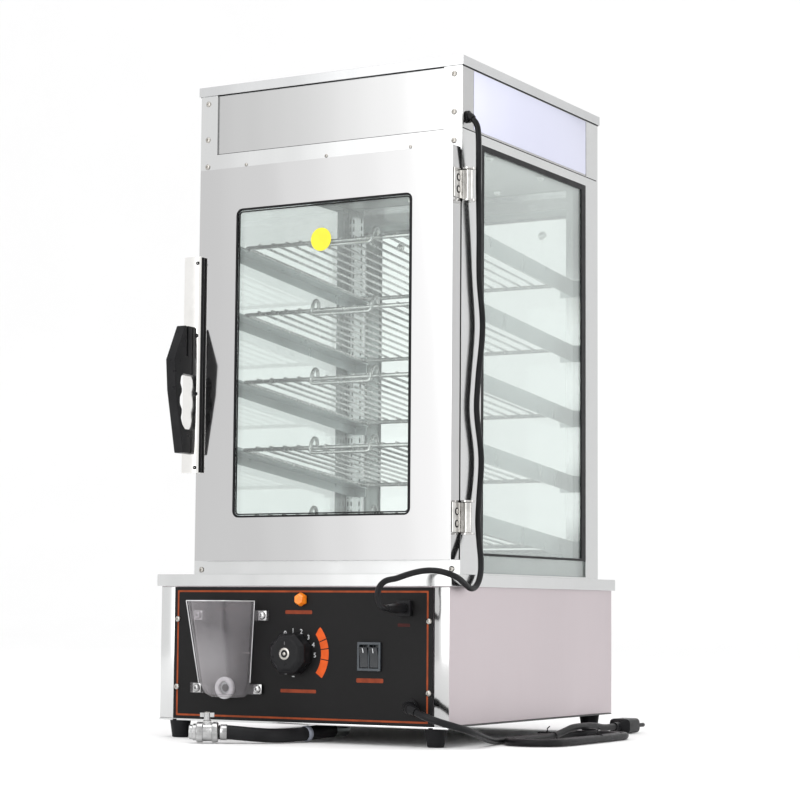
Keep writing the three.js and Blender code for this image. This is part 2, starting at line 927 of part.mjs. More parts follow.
function thermostat() {
  const half = THERMOSTAT.size / 2;
  const front = panelBack + GAP;
  const [x, z] = knobPlace;
  const body = cut(
    join(
      box([x - half, x + half], [front, front + THERMOSTAT.depth], [z - half, z + half]),
      rod("xz", knobPlace, THERMOSTAT.bush, panelBack - THERMOSTAT.bushLength, front + SHEET, SIDES.round),
    ),
    rod("xz", knobPlace, KNOB.bore, panelBack - PAST, panelBack + KNOB.boreDepth, SIDES.round),
  );
  const corner = KNOB.acrossFlats / 2 / Math.cos(Math.PI / 8);
  const ring = (depth, share) => [mounted - depth, circle(knobPlace, corner * share, 8)];
  const knob = join(
    loft("xz", [
      ring(0, 1),
      ring(KNOB.depth - KNOB.bevelDepth, 1),
      ring(KNOB.depth - KNOB.bevelDepth / 3, (1 + KNOB.faceShare) / 2),
      ring(KNOB.depth, KNOB.faceShare),
    ]),
    rod("xz", knobPlace, KNOB.shaft, mounted - SHEET, mounted + KNOB.shaftLength),
  );
  return [
    ["thermostat_body", body, "black"],
    ["thermostat_knob", knob, "black"],
  ];
}

function indicator() {
  const { halfWidth, halfHeight, shoulder, faceShare } = INDICATOR;
  const [x, z] = indicatorPlace;
  const hexagon = (share) => [
    [x - halfWidth * share, z - shoulder * share],
    [x, z - halfHeight * share],
    [x + halfWidth * share, z - shoulder * share],
    [x + halfWidth * share, z + shoulder * share],
    [x, z + halfHeight * share],
    [x - halfWidth * share, z + shoulder * share],
  ];
  const lamp = join(
    loft("xz", [
      [mounted, hexagon(1)],
      [mounted - INDICATOR.proud / 2, hexagon(1)],
      [mounted - INDICATOR.proud, hexagon(faceShare)],
    ]),
    rod("xz", [x, z], INDICATOR.shank, mounted - SHEET, mounted + INDICATOR.depth),
  );
  return [["indicator_lamp", lamp, "amber"]];
}

function rockers() {
  const [x, z] = rockerPlace;
  const face = mounted - ROCKER.bezelProud;
  const across = (width) => [x - width / 2, x + width / 2];
  const upright = (height) => [z - height / 2, z + height / 2];
  const middles = [x - ROCKER.pitch / 2, x + ROCKER.pitch / 2];
  const housing = cut(
    join(
      box(across(ROCKER.bezelWidth), [face, mounted], upright(ROCKER.bezelHeight)),
      box(across(ROCKER.bodyWidth), [face, mounted + ROCKER.bodyDepth], upright(ROCKER.bodyHeight)),
    ),
    ...middles.map((middle) =>
      box(
        [middle - ROCKER.cavityWidth / 2, middle + ROCKER.cavityWidth / 2],
        [face - PAST, face + ROCKER.cavityDepth],
        upright(ROCKER.cavityHeight),
      ),
    ),
  );
  const half = [
    [-ROCKER.waist, 0],
    [-ROCKER.crown, ROCKER.halfHeight],
    [-ROCKER.shoulder, ROCKER.shoulderHalf],
    [ROCKER.back, ROCKER.backHalf],
  ];
  const mirrored = half.slice(1).map(([y, height]) => [y, -height]).reverse();
  const pivot = face + ROCKER.pivotDepth;
  const tilt = THREE.MathUtils.degToRad(ROCKER.tilt);
  const outline = [...half, ...mirrored].map(([y, height]) => [
    pivot + y * Math.cos(tilt) - height * Math.sin(tilt),
    z + y * Math.sin(tilt) + height * Math.cos(tilt),
  ]);
  const width = ROCKER.cavityWidth - 2 * GAP;
  const [left, right] = middles.map((middle) => prism("yz", outline, middle - width / 2, middle + width / 2));
  return [
    ["rocker_housing", housing, "black"],
    ["rocker_left", left, "black"],
    ["rocker_right", right, "black"],
  ];
}

function sockets() {
  const square = (size) => socketPlace.map((middle) => [middle - size / 2, middle + size / 2]);
  const [bodyX, bodyZ] = square(SOCKET.size);
  const [shankX, shankZ] = square(SOCKET.shank);
  const socket = join(
    box(bodyX, [mounted - SOCKET.proud, mounted], bodyZ),
    box(shankX, [mounted - SHEET, mounted + SOCKET.depth], shankZ),
  );
  const plugStart = mounted - SOCKET.proud - GAP;
  const plug = turned("xz", socketPlace, [
    [plugStart, LAMP_PLUG.radius],
    [plugStart - LAMP_PLUG.body, LAMP_PLUG.radius],
    [plugStart - LAMP_PLUG.shoulderAt, LAMP_PLUG.shoulder],
    [plugStart - LAMP_PLUG.length, LAMP_PLUG.tail],
  ], SIDES.small);
  return [
    ["lamp_socket", socket, "black"],
    ["lamp_plug", plug, "black"],
  ];
}

// Strain reliefs: a flange, a shank through the sheet, and a boot that bends towards its cord.
function glands() {
  const { straight: before, bend, stub, bendDrop, stubDrop } = MAINS_GLAND;
  const [x, z] = mainsPlace;
  const turn = THREE.MathUtils.degToRad(MAINS_GLAND.turn);
  const bends = Array.from({ length: SIDES.bend + 1 }, (_, i) => {
    const share = i / SIDES.bend;
    const across = bend * (1 - Math.cos(turn * share));
    const out = before + bend * Math.sin(turn * share);
    return new THREE.Vector3(x + across, mounted - out, z - bendDrop * share * share);
  });
  const end = bends[bends.length - 1].clone();
  end.add(new THREE.Vector3(stub * Math.sin(turn), -stub * Math.cos(turn), -stubDrop));
  const mains = join(
    rod("xz", mainsPlace, MAINS_GLAND.flange, mounted - MAINS_GLAND.flangeDepth, mounted),
    boot([new THREE.Vector3(x, mounted, z), ...bends, end], MAINS_GLAND.root, MAINS_GLAND.tip, SIDES.small),
    rod("xz", mainsPlace, MAINS_GLAND.shank, mounted - SHEET, mounted + MAINS_GLAND.depth),
  );
  const side = cabinetHalf + GAP;
  const { y, root, tip } = LAMP_GLAND;
  const height = headSeam + LAMP_GLAND.rise;
  const rim = side + LAMP_GLAND.flangeDepth;
  const slant = LAMP_GLAND.stub * Math.SQRT1_2;
  const elbow = [
    new THREE.Vector3(side, y, height),
    new THREE.Vector3(rim, y, height),
    new THREE.Vector3(rim + LAMP_GLAND.reach, y, height - LAMP_GLAND.sag),
    new THREE.Vector3(rim + LAMP_GLAND.reach + slant, y, height - LAMP_GLAND.sag - slant),
  ];
  const lamp = join(
    rod("yz", [y, height], LAMP_GLAND.flange, side, rim),
    boot(elbow, root, tip, SIDES.small),
    rod("yz", [y, height], LAMP_GLAND.shank, side - LAMP_GLAND.depth, side + SHEET),
  );
  return [
    ["mains_gland", mains, "black"],
    ["lamp_gland", lamp, "black"],
  ];
}

// Mirrors a pair of X values to the given side.
function onSide(side, near, far) {
  return side > 0 ? [near, far] : [-far, -near];
}

function cabinetFrame() {
  const up = [cabinetBottom, cabinetTop];
  const postInner = cabinetHalf - POST.front;
  const skinInner = cabinetHalf - SHEET;
  const rearSkin = CABINET_DEPTH - SHEET;
  const ledge = [ceiling - GAP - SHEET, ceiling - GAP];
  const pilasterTop = ledge[1];
  const sides = [-1, 1].flatMap((side) => {
    const x = (near, far) => onSide(side, near, far);
    return [
      box(x(postInner, cabinetHalf), [0, FRONT_SHEET], up),
      box(x(skinInner, cabinetHalf), [0, POST.side], [cabinetBottom, headSeam]),
      box(x(skinInner, cabinetHalf), [CABINET_DEPTH - POST.rearSide, CABINET_DEPTH], up),
      box(x(cabinetHalf - POST.rearFlange, cabinetHalf), [rearSkin, CABINET_DEPTH], up),
      box(x(skinInner, cabinetHalf), [0, CABINET_DEPTH], [headSeam - FRAME.topStrip, headSeam]),
      box(x(cabinetHalf - FRAME.floorStrip, cabinetHalf), [0, CABINET_DEPTH], [
        cabinetBottom,
        cabinetBottom + FRONT_SHEET,
      ]),
      box(x(POST.rearLip, cabinetHalf), [rearSkin, CABINET_DEPTH], [cabinetBottom, headSeam]),
      box(x(POST.pilasterInner, POST.pilasterOuter), [pilasterFront, pilasterFront + SHEET], [
        cabinetBottom,
        pilasterTop,
      ]),
      box(x(POST.pilasterInner, POST.pilasterInner + SHEET), [pilasterFront, CABINET_DEPTH], [
        cabinetBottom,
        pilasterTop,
      ]),
      box(x(POST.pilasterOuter - SHEET, POST.pilasterOuter), [POST.stripFront, POST.stripRear], [
        cabinetBottom,
        pilasterTop,
      ]),
      box(x(postInner, POST.pilasterOuter), [0, POST.stripRear], ledge),
    ];
  });
  const across = [-cabinetHalf, cabinetHalf];
  const ledgeHalf = POST.pilasterInner + SHEET;
  const frame = join(
    ...sides,
    box(across, [0, FRONT_SHEET], [cabinetBottom, cabinetBottom + FRAME.bottomRail]),
    box(across, [0, FRONT_SHEET], [headerBottom, headSeam]),
    box([-postInner, postInner], [0, FRAME.ledge], ledge),
    box(across, [rearSkin, CABINET_DEPTH], [cabinetBottom, cabinetBottom + FRAME.bottomRail]),
    box(across, [rearSkin, CABINET_DEPTH], [headerBottom, headSeam]),
    box([-ledgeHalf, ledgeHalf], [CABINET_DEPTH - FRAME.ledge, CABINET_DEPTH], ledge),
  );
  return [["cabinet_frame", frame, "steel"]];
}

function head() {
  const levels = [headSeam + GAP, cabinetTop];
  const front = HEAD.recess;
  const shoulder = CABINET_DEPTH - POST.rearSide - GAP;
  const back = CABINET_DEPTH - SHEET - GAP;
  const stepped = cabinetHalf - HEAD.stepInset;
  const ring = (inset) => [
    [cabinetHalf - inset, front + inset],
    [cabinetHalf - inset, shoulder - inset],
    [stepped - inset, shoulder - inset],
    [stepped - inset, back - inset],
    [-stepped + inset, back - inset],
    [-stepped + inset, shoulder - inset],
    [-cabinetHalf + inset, shoulder - inset],
    [-cabinetHalf + inset, front + inset],
  ];
  const gland = [LAMP_GLAND.y, headSeam + LAMP_GLAND.rise];
  const shell = cut(
    prism("xy", ring(0), ...levels),
    prism("xy", ring(SHEET), levels[0] - PAST, levels[1] + PAST),
    rod("yz", gland, LAMP_GLAND.hole, cabinetHalf - PAST, cabinetHalf + PAST, SIDES.round),
  );
  const lidX = cabinetHalf + LID.overhang;
  const lidY = [-LID.overhang, CABINET_DEPTH + LID.overhang];
  const lid = cut(
    box([-lidX, lidX], lidY, [TOTAL_HEIGHT - LID.drop, TOTAL_HEIGHT]),
    box([-lidX + SHEET, lidX - SHEET], [lidY[0] + SHEET, lidY[1] - SHEET], [
      TOTAL_HEIGHT - LID.drop - PAST,
      sheetTop,
    ]),
  );
  return [
    ["head_shell", shell, "steel"],
    ["top_lid", lid, "steel"],
  ];
}

function ceilingAndLamp() {
  const sheet = [ceiling, ceiling + SHEET];
  const half = paneInner - GAP;
  const centre = [0, CABINET_DEPTH / 2];
  const panel = cut(
    box([-half, half], [FRONT_SHEET + GAP, CABINET_DEPTH - SHEET - GAP], sheet),
    rod("xy", centre, CEILING_LAMP.hole, sheet[0] - PAST, sheet[1] + PAST, SIDES.round),
  );
  const seat = sheet[1] + GAP;
  const lamp = join(
    rod("xy", centre, CEILING_LAMP.flange, seat, seat + CEILING_LAMP.flangeThickness, SIDES.round),
    turned("xy", centre, [
      [ceiling - CEILING_LAMP.domeDrop, CEILING_LAMP.dome],
      [ceiling - CEILING_LAMP.domeShoulderDrop, CEILING_LAMP.domeShoulder],
      [seat, CEILING_LAMP.body],
      [seat + CEILING_LAMP.height, CEILING_LAMP.body],
    ]),
  );
  return [
    ["ceiling_panel", panel, "steel"],
    ["ceiling_lamp", lamp, "opal"],
  ];
}

function glazing() {
  const y = [SIDE_GLASS.front, pilasterFront - SIDE_GLASS.rearGap];
  const z = [cabinetBottom + FRONT_SHEET + GAP, ceiling + SIDE_GLASS.rise];
  const rearFace = CABINET_DEPTH - SHEET - GAP;
  return [
    ["left_glass", box(onSide(-1, paneInner, SIDE_GLASS.outer), y, z), "glass"],
    ["right_glass", box(onSide(1, paneInner, SIDE_GLASS.outer), y, z), "glass"],
    [
      "rear_glass",
      box([-REAR_GLASS.half, REAR_GLASS.half], [rearFace - PANE, rearFace], [
        cabinetBottom + FRAME.bottomRail - REAR_GLASS.lap,
        headerBottom + REAR_GLASS.lap,
      ]),
      "glass",
    ],
  ];
}

function door() {
  const x = [DOOR.left, cabinetHalf];
  const z = doorHeights;
  const inward = ([from, to], inset) => [from + inset, to - inset];
  const windowX = inward(x, DOOR.stile);
  const windowZ = inward(z, DOOR.rail);
  const paneX = inward(windowX, -DOOR.lap);
  const paneZ = inward(windowZ, -DOOR.lap);
  const wallX = inward(paneX, -DOOR.wall);
  const wallZ = inward(paneZ, -DOOR.wall);
  const seat = DOOR.front + DOOR.skin;
  const hollow = [seat, DOOR.back - DOOR.wall];
  const middle = (x[0] + x[1]) / 2;
  const drains = [-1, 0, 1].map((i) =>
    rod(
      "xy",
      [middle + i * DOOR.drainPitch, (hollow[0] + hollow[1]) / 2],
      DOOR.drainHole,
      z[0] - PAST,
      z[0] + PAST,
    ),
  );
  const frame = cut(
    box(x, [DOOR.front, DOOR.back], z),
    cut(box(inward(x, DOOR.wall), hollow, inward(z, DOOR.wall)), box(wallX, inward(hollow, -PAST), wallZ)),
    prism("xz", rounded(windowX, windowZ, DOOR.corner), DOOR.front - PAST, DOOR.back + PAST),
    box(paneX, [seat, DOOR.back + PAST], paneZ),
    ...drains,
  );
  const pane = box(inward(paneX, GAP), [seat + GAP, seat + GAP + PANE], inward(paneZ, GAP));
  const sealX = inward(x, DOOR.gasketInset);
  const sealZ = inward(z, DOOR.gasketInset);
  const gasket = cut(
    box(sealX, [DOOR.back + GAP, -GAP], sealZ),
    box(inward(sealX, DOOR.gasketWidth), [DOOR.back, 0], inward(sealZ, DOOR.gasketWidth)),
  );
  return [
    ["door_frame", frame, "steel"],
    ["door_glass", pane, "glass"],
    ["door_gasket", gasket, "rubber"],
  ];
}

function handle() {
  const back = DOOR.front - GAP;
  const { left, right, front, bevel, crown, crownDrop } = HANDLE;
  const bottom = doorHeights[0] + HANDLE.bottomShare * doorHeight;
  const top = doorHeights[0] + HANDLE.topShare * doorHeight;
  const level = (share) => bottom + share * (top - bottom);
  const bar = prism("xy", [
    [left, back],
    [right, back],
    [right, front + bevel + crownDrop],
    [right - bevel, front + crownDrop],
    [right - crown, front],
    [left + crown, front],
    [left + bevel, front + crownDrop],
    [left, front + bevel + crownDrop],
  ], bottom, top);
  const root = HANDLE.front - GAP;
  const outline = [
    [root, level(GRIP.topShare)],
    [root - GRIP.topReach, level(GRIP.topShare)],
    [root - GRIP.crestReach, level(GRIP.crestShare)],
    [root - GRIP.heelReach, level(GRIP.heelShare)],
    [root - GRIP.bottomReach, level(GRIP.bottomShare)],
    [root, level(GRIP.bottomShare)],
  ];
  const hole = [level(GRIP.holeBottomShare), level(GRIP.holeTopShare)];
  const across = [GRIP.left - PAST, GRIP.right + PAST];
  const grip = cut(
    prism("yz", outline, GRIP.left, GRIP.right),
    box(across, [root - GRIP.slitFar, root - GRIP.slitNear], [level(GRIP.slitShare), level(GRIP.topShare) + PAST]),
    prism("yz", rounded([root - GRIP.holeFar, root - GRIP.holeNear], hole, GRIP.holeCorner), ...across),
  );
  return [
    ["handle_bar", bar, "chrome"],
    ["handle_grip", grip, "black"],
  ];
}

function hinge(name, middle) {
  const axis = [HINGE.x, HINGE.y];
  const side = cabinetHalf + GAP;
  const barrel = [middle - HINGE.height / 2, middle + HINGE.height / 2];
  const leaf = cut(
    join(
      rod("xy", axis, HINGE.barrel, ...barrel, SIDES.small),
      box([side, side + HINGE.leafThickness], [HINGE.leafFront, HINGE.leafRear], barrel),
      box([side, HINGE.x - HINGE.bore], [HINGE.leafRear - HINGE.leafThickness, HINGE.leafRear], barrel),
    ),
    rod("xy", axis, HINGE.bore, barrel[0] - PAST, barrel[1] + PAST, SIDES.small),
  );
  const ears = [-1, 1].flatMap((end) => {
    const near = middle + end * (HINGE.height / 2 + GAP);
    const far = near + end * HINGE.earThickness;
    const levels = [Math.min(near, far), Math.max(near, far)];
    return [
      rod("xy", axis, HINGE.ear, ...levels, SIDES.round),
      box([side, HINGE.x], [HINGE.y, HINGE.plateRear], levels),
    ];
  });
  const reach = HINGE.height / 2 + GAP + HINGE.earThickness;
  const whole = [middle - reach, middle + reach];
  const bracket = cut(
    join(
      ...ears,
      box([side, side + HINGE.leafThickness], [HINGE.plateFront, HINGE.plateRear], whole),
      rod("xy", axis, HINGE.pin, ...whole, SIDES.fine),
    ),
    box([side - HINGE.ear, side], [HINGE.y - HINGE.ear, HINGE.y + HINGE.ear], [whole[0] - PAST, whole[1] + PAST]),
  );
  return [
    [`${name}_hinge_leaf`, leaf, "steel"],
    [`${name}_hinge_bracket`, bracket, "steel"],
  ];
}

const fall = Math.tan(THREE.MathUtils.degToRad(RACK.slope));
const rackRear = pilasterFront - RACK.rearGap;
const rackMiddle = (RACK.front + rackRear) / 2;
const rackTop = ceiling - RACK.fromCeiling;
const rackPitch = (rackTop - BASE_HEIGHT - RACK.fromBase - GAP) / (RACK.count - 1);

// Height of a rack's frame rods at a depth.
function rackHeight(level, y) {
  return rackTop - level * rackPitch - (y - rackMiddle) * fall;
}

function rack(level) {
  const at = (x, y, rise = 0) => [x, y, rackHeight(level, y) + rise];
  const { half, front, frameRadius, wireRadius } = RACK;
  const cross = [front, rackRear].map((y) => straight(at(-half, y), at(half, y), frameRadius, SIDES.rod));
  const sides = [-half, half].map((x) => straight(at(x, front), at(x, rackRear), frameRadius, SIDES.rod));
  const spacing = (2 * half) / (RACK.wires + 1);
  const wires = Array.from({ length: RACK.wires }, (_, i) => {
    const x = -half + (i + 1) * spacing;
    const rise = RACK.wireRise;
    return straight(at(x, front - wireRadius, rise), at(x, rackRear + wireRadius, rise), wireRadius, SIDES.wire);
  });
  const bends = RACK.handle.map(([y, z]) => [front + y, rackHeight(level, front) + z]);
  const route = [
    ...bends.map(([y, z]) => new THREE.Vector3(-RACK.handleHalf, y, z)),
    ...bends.map(([y, z]) => new THREE.Vector3(RACK.handleHalf, y, z)).reverse(),
  ];
  const grip = tube(route, RACK.handleRadius, SIDES.wire);
  return join(...cross, ...sides, ...wires, grip);
}

// Sheet rail on one side: outer web, shelf under the rack, and a plate at each end.
function rail(level, side) {
  const x = (near, far) => onSide(side, near, far);
  const rearPlate = [pilasterFront - GAP - RAIL.thickness, pilasterFront - GAP];
  const frontPlate = [RAIL.front, RAIL.front + RAIL.thickness];
  const run = [frontPlate[0], rearPlate[1]];
  const strip = (top, bottom) => [
    [run[0], rackHeight(level, run[0]) + top],
    [run[0], rackHeight(level, run[0]) + bottom],
    [run[1], rackHeight(level, run[1]) + bottom],
    [run[1], rackHeight(level, run[1]) + top],
  ];
  const plate = (y, near, far) => {
    const middle = rackHeight(level, y[0]);
    return box(x(near, far), y, [middle - RAIL.drop, middle + RAIL.rise]);
  };
  const shelfTop = -RACK.frameRadius - GAP;
  return join(
    prism("yz", strip(RAIL.rise, -RAIL.drop), ...x(RAIL.web, RAIL.web + RAIL.thickness)),
    prism("yz", strip(shelfTop, shelfTop - RAIL.thickness), ...x(RAIL.inner, RAIL.web + RAIL.thickness)),
    plate(frontPlate, RAIL.web, RAIL.frontPlateOuter),
    plate(rearPlate, RAIL.rearPlateInner, RAIL.rearPlateOuter),
  );
}

function shelving() {
  return Array.from({ length: RACK.count }, (_, level) => [
    [`rack_${level + 1}`, rack(level), "wire"],
    [`left_rail_${level + 1}`, rail(level, -1), "steel"],
    [`right_rail_${level + 1}`, rail(level, 1), "steel"],
  ]).flat();
}

// Flat spiral of long loops on the table, then the tail that crosses over it to the plug.
function hankStations() {
  const { loops, loopSteps, hankX, hankY, run, outer, pitch, floor, diameter } = MAINS_CORD;
  const stations = [];
  const start = new THREE.Vector3(hankX - outer, hankY - run / 2 - GAP, floor);
  stations.push(start.clone().sub(new THREE.Vector3(0, diameter, 0)));
  for (let half = 0; half < 2 * loops; half += 1) {
    const end = half % 2 === 0 ? 1 : -1;
    for (let i = 0; i <= loopSteps; i += 1) {
      const angle = (i / loopSteps) * Math.PI;
      const radius = outer - (pitch * (half + i / loopSteps)) / 2;
      stations.push(
        new THREE.Vector3(
          hankX - end * radius * Math.cos(angle),
          hankY + end * (run / 2 + radius * Math.sin(angle)),
          floor,
        ),
      );
    }
  }
  const last = stations[stations.length - 1];
  const bends = MAINS_CORD.tail.map(([y, z]) => [last.x, last.y + y, last.z + z]);
  const tail = smooth([last.toArray(), ...bends], MAINS_CORD.tailStep).slice(1);
  return [...stations, ...tail];
}

// Least distance between two parts of one tube that aren't next to each other, less its diameter.
function selfGap(stations, diameter) {
  const line = new THREE.CurvePath();
  stations.slice(1).forEach((end, i) => line.add(new THREE.LineCurve3(stations[i], end)));
  const count = Math.round((line.getLength() * SAMPLES_PER_DIAMETER) / diameter);
  const samples = line.getSpacedPoints(count);
  const apart = Math.ceil(Math.PI * SAMPLES_PER_DIAMETER);
  let least = Infinity;
  samples.forEach((a, i) => {
    samples.slice(i + apart).forEach((b) => {
      least = Math.min(least, a.distanceTo(b) - diameter);
    });
  });
  return least;
}

function cords() {
  const lampCord = tube(smooth(LAMP_CORD.route, LAMP_CORD.step), LAMP_CORD.diameter / 2, LAMP_CORD.sides);
  const radius = MAINS_CORD.diameter / 2;
  const lead = tube(smooth(MAINS_CORD.lead, MAINS_CORD.step), radius, MAINS_CORD.sides);
  const stations = hankStations();
  const least = selfGap(stations, MAINS_CORD.diameter);
  console.log(`mains_cord_hank: least gap to itself ${least.toFixed(2)} mm`);
  const hank = tube(stations, radius, MAINS_CORD.hankSides);
  const end = stations[stations.length - 1];
  const { neck, neckLength, width, height, corner, length, pin, pinLength, pinPitch } = MAINS_PLUG;
  const start = end.y + GAP;
  const shape = (w, h, r) => rounded([end.x - w / 2, end.x + w / 2], [end.z - h / 2, end.z + h / 2], r, 3);
  const body = loft("xz", [
    [start, shape(2 * neck, 2 * neck, neck - GAP)],
    [start + neckLength, shape(2 * neck, 2 * neck, neck - GAP)],
    [start + neckLength + corner, shape(width, height, corner)],
    [start + neckLength + length, shape(width, height, corner)],
  ]);
  const pins = [-1, 1].map((side) => {
    const from = start + neckLength + length - SHEET;
    return rod("xz", [end.x + (side * pinPitch) / 2, end.z], pin, from, from + SHEET + pinLength, SIDES.fine);
  });
  return [
    ["lamp_cord", lampCord, "rubber"],
    ["mains_cord_lead", lead, "rubber"],
    ["mains_cord_hank", hank, "rubber"],
    ["mains_plug", join(body, ...pins), "black"],
  ];
}

function drain() {
  const { radius, bore, boreDepth, sides, step, route } = DRAIN_HOSE;
  const first = route[0];
  const last = new THREE.Vector3(...route[route.length - 1]);
  const axis = [last.dot(ACROSS_VALVE), last.z];
  const mouth = last.dot(ALONG_VALVE);
  const at = (length) => mouth + GAP + length;
  const hose = cut(
    tube(smooth(route, step), radius, sides),
    rod("xz", [first[0], first[2]], bore, first[1] - boreDepth, first[1] + PAST),
    rod("valve", axis, bore, mouth - boreDepth, mouth + PAST),
  );
  const bonnet = last.clone().addScaledVector(ALONG_VALVE, GAP + VALVE.bonnetAt);
  const valve = cut(
    join(
      rod("valve", axis, VALVE.body, at(0), at(VALVE.bodyLength), SIDES.round),
      rod("valve", axis, VALVE.collar, at(SHEET), at(VALVE.collarEnd), SIDES.round),
      rod("valve", axis, VALVE.nose, at(SHEET), at(VALVE.length), SIDES.round),
      rod("valve", axis, VALVE.barb, at(-VALVE.barbLength), at(SHEET)),
      rod("xy", [bonnet.x, bonnet.y], VALVE.bonnet, last.z, last.z + VALVE.bonnetTop),
    ),
    rod("valve", axis, VALVE.outlet, at(VALVE.length - VALVE.outletDepth), at(VALVE.length) + PAST),
  );
  const seat = last.z + VALVE.bonnetTop + GAP;
  const tabTop = seat + LEVER.height + LEVER.tabHeight;
  const corner = (along, across) => {
    const point = bonnet.clone().addScaledVector(ALONG_VALVE, (along * LEVER.tabLength) / 2);
    point.addScaledVector(ACROSS_VALVE, (across * LEVER.tabWidth) / 2);
    return [point.x, point.y];
  };
  const tab = [corner(-1, -1), corner(1, -1), corner(1, 1), corner(-1, 1)];
  const lever = join(
    rod("xy", [bonnet.x, bonnet.y], LEVER.stem, seat, tabTop, SIDES.small),
    prism("xy", tab, seat + LEVER.height, tabTop),
  );
  return [
    ["drain_hose", hose, "rubber"],
    ["drain_valve", valve, "chrome"],
    ["drain_lever", lever, "chrome"],
  ];
}

const pieces = [
  ...feet(),
  ...base(),
  ...controlPanel(),
  ...waterTank(),
  ...heatingElement(),
  ...hopper(),
  ...thermostat(),
  ...indicator(),
  ...rockers(),
  ...sockets(),
  ...glands(),
  ...cabinetFrame(),
  ...head(),
  ...ceilingAndLamp(),
  ...glazing(),
  ...door(),
  ...handle(),
  ...hinge("upper", doorHeights[1] - HINGE.fromTop),
  ...hinge("lower", doorHeights[0] + HINGE.fromBottom),
  ...shelving(),
  ...cords(),
  ...drain(),
];

// The origin goes under the middle of the standing case, whose foremost face is the hopper's.
const foremost = mounted - HOPPER.rim[2];
const middleY = (foremost + baseRear) / 2;

function meshOf([name, body, finish]) {
  const made = body.getMesh();
  const positions = new Float32Array(made.numVert * 3);
  for (let i = 0; i < made.numVert; i += 1) {
    positions.set(made.vertProperties.subarray(i * made.numProp, i * made.numProp + 3), i * 3);
  }
  const geometry = new THREE.BufferGeometry();
  geometry.setAttribute("position", new THREE.BufferAttribute(positions, 3));
  geometry.setIndex(new THREE.BufferAttribute(made.triVerts, 1));
  geometry.computeVertexNormals();
  const mesh = new THREE.Mesh(geometry, new THREE.MeshStandardMaterial(FINISH[finish]));
  mesh.name = name;
  mesh.position.y = -middleY;
  return mesh;
}

const group = new THREE.Group();
group.name = "heated_display_case";
pieces.forEach((piece) => group.add(meshOf(piece)));

export default group;
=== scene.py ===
"""Heated display case: finishes, fastenings, wire racks and cords over its fixed CAD frame."""
import json
import logging
from collections.abc import Sequence
from dataclasses import dataclass, field
from enum import Enum
from math import cos, pi, radians, sin, tan

import bmesh
import bpy
from mathutils import Matrix, Vector

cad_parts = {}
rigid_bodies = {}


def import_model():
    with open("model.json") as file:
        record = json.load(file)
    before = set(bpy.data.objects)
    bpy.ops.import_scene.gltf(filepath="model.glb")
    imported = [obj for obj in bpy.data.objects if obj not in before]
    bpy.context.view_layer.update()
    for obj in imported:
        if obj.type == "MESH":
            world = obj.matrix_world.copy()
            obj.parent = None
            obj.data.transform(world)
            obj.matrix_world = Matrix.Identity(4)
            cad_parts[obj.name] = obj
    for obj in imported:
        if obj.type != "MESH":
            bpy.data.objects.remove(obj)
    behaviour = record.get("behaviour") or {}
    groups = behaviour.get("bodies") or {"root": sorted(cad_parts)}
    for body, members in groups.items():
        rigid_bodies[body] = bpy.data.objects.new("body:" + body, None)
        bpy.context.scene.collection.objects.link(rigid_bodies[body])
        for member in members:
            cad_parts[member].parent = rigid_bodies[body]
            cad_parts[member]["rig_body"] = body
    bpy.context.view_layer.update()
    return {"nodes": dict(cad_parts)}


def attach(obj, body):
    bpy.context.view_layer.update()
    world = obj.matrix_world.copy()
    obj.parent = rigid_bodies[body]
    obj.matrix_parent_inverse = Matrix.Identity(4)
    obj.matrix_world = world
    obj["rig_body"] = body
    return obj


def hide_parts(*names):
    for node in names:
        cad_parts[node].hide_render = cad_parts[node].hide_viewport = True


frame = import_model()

LOG = logging.getLogger("display_case")
MM = 0.001
FRONT = 134.45  # depth of the cabinet's front face from the row frame's middle, in millimetres
SIDES = ((-1, "left"), (1, "right"))
WELD = 1e-6  # distance in metres under which vertices of one form are merged
SHADE_AT, TONE_AT = 0.35, 0.65  # where a finish's two colours stand in its noise
BUMP = 0.0004  # height in metres of a finish's fine relief
FLAT = 0.5  # angle in degrees up to which neighbouring faces of a CAD node are one
SHELL_SHADE = 50.0  # angle in degrees up to which a softened piece shades as one
BEND, BEND_SHARE = 0.012, 0.45  # straight in metres that a wire's bend may reach into, and the share it takes

Point = tuple[float, float, float]
Pair = tuple[float, float]
Socket = bpy.types.NodeSocket
Model = bpy.types.Object


class Way(Enum):
    """Directions that pieces are turned and extruded along."""

    RIGHT = (1.0, 0.0, 0.0)
    FORWARD = (0.0, -1.0, 0.0)
    BACK = (0.0, 1.0, 0.0)
    UP = (0.0, 0.0, 1.0)
    DOWN = (0.0, 0.0, -1.0)

    def by(self, length: float) -> Vector:
        """A length in millimetres along the way, in metres."""
        return Vector([part * length * MM for part in self.value])


class Relief(Enum):
    """Stretch of a finish's fine relief along X, Y and Z."""

    ROLLED = (1.0, 1.0, 0.03)
    POLISHED = (1.0, 1.0, 0.2)
    MOULDED = (1.0, 1.0, 1.0)


def spot(x: float, y: float, z: float) -> Vector:
    """Point of the row frame, in metres, from millimetres measured at the cabinet's front.

    Args:
        x: millimetres to the right of the middle.
        y: millimetres behind the cabinet's front face.
        z: millimetres above the table.

    Returns:
        The point in metres.
    """
    return Vector((x * MM, (y - FRONT) * MM, z * MM))


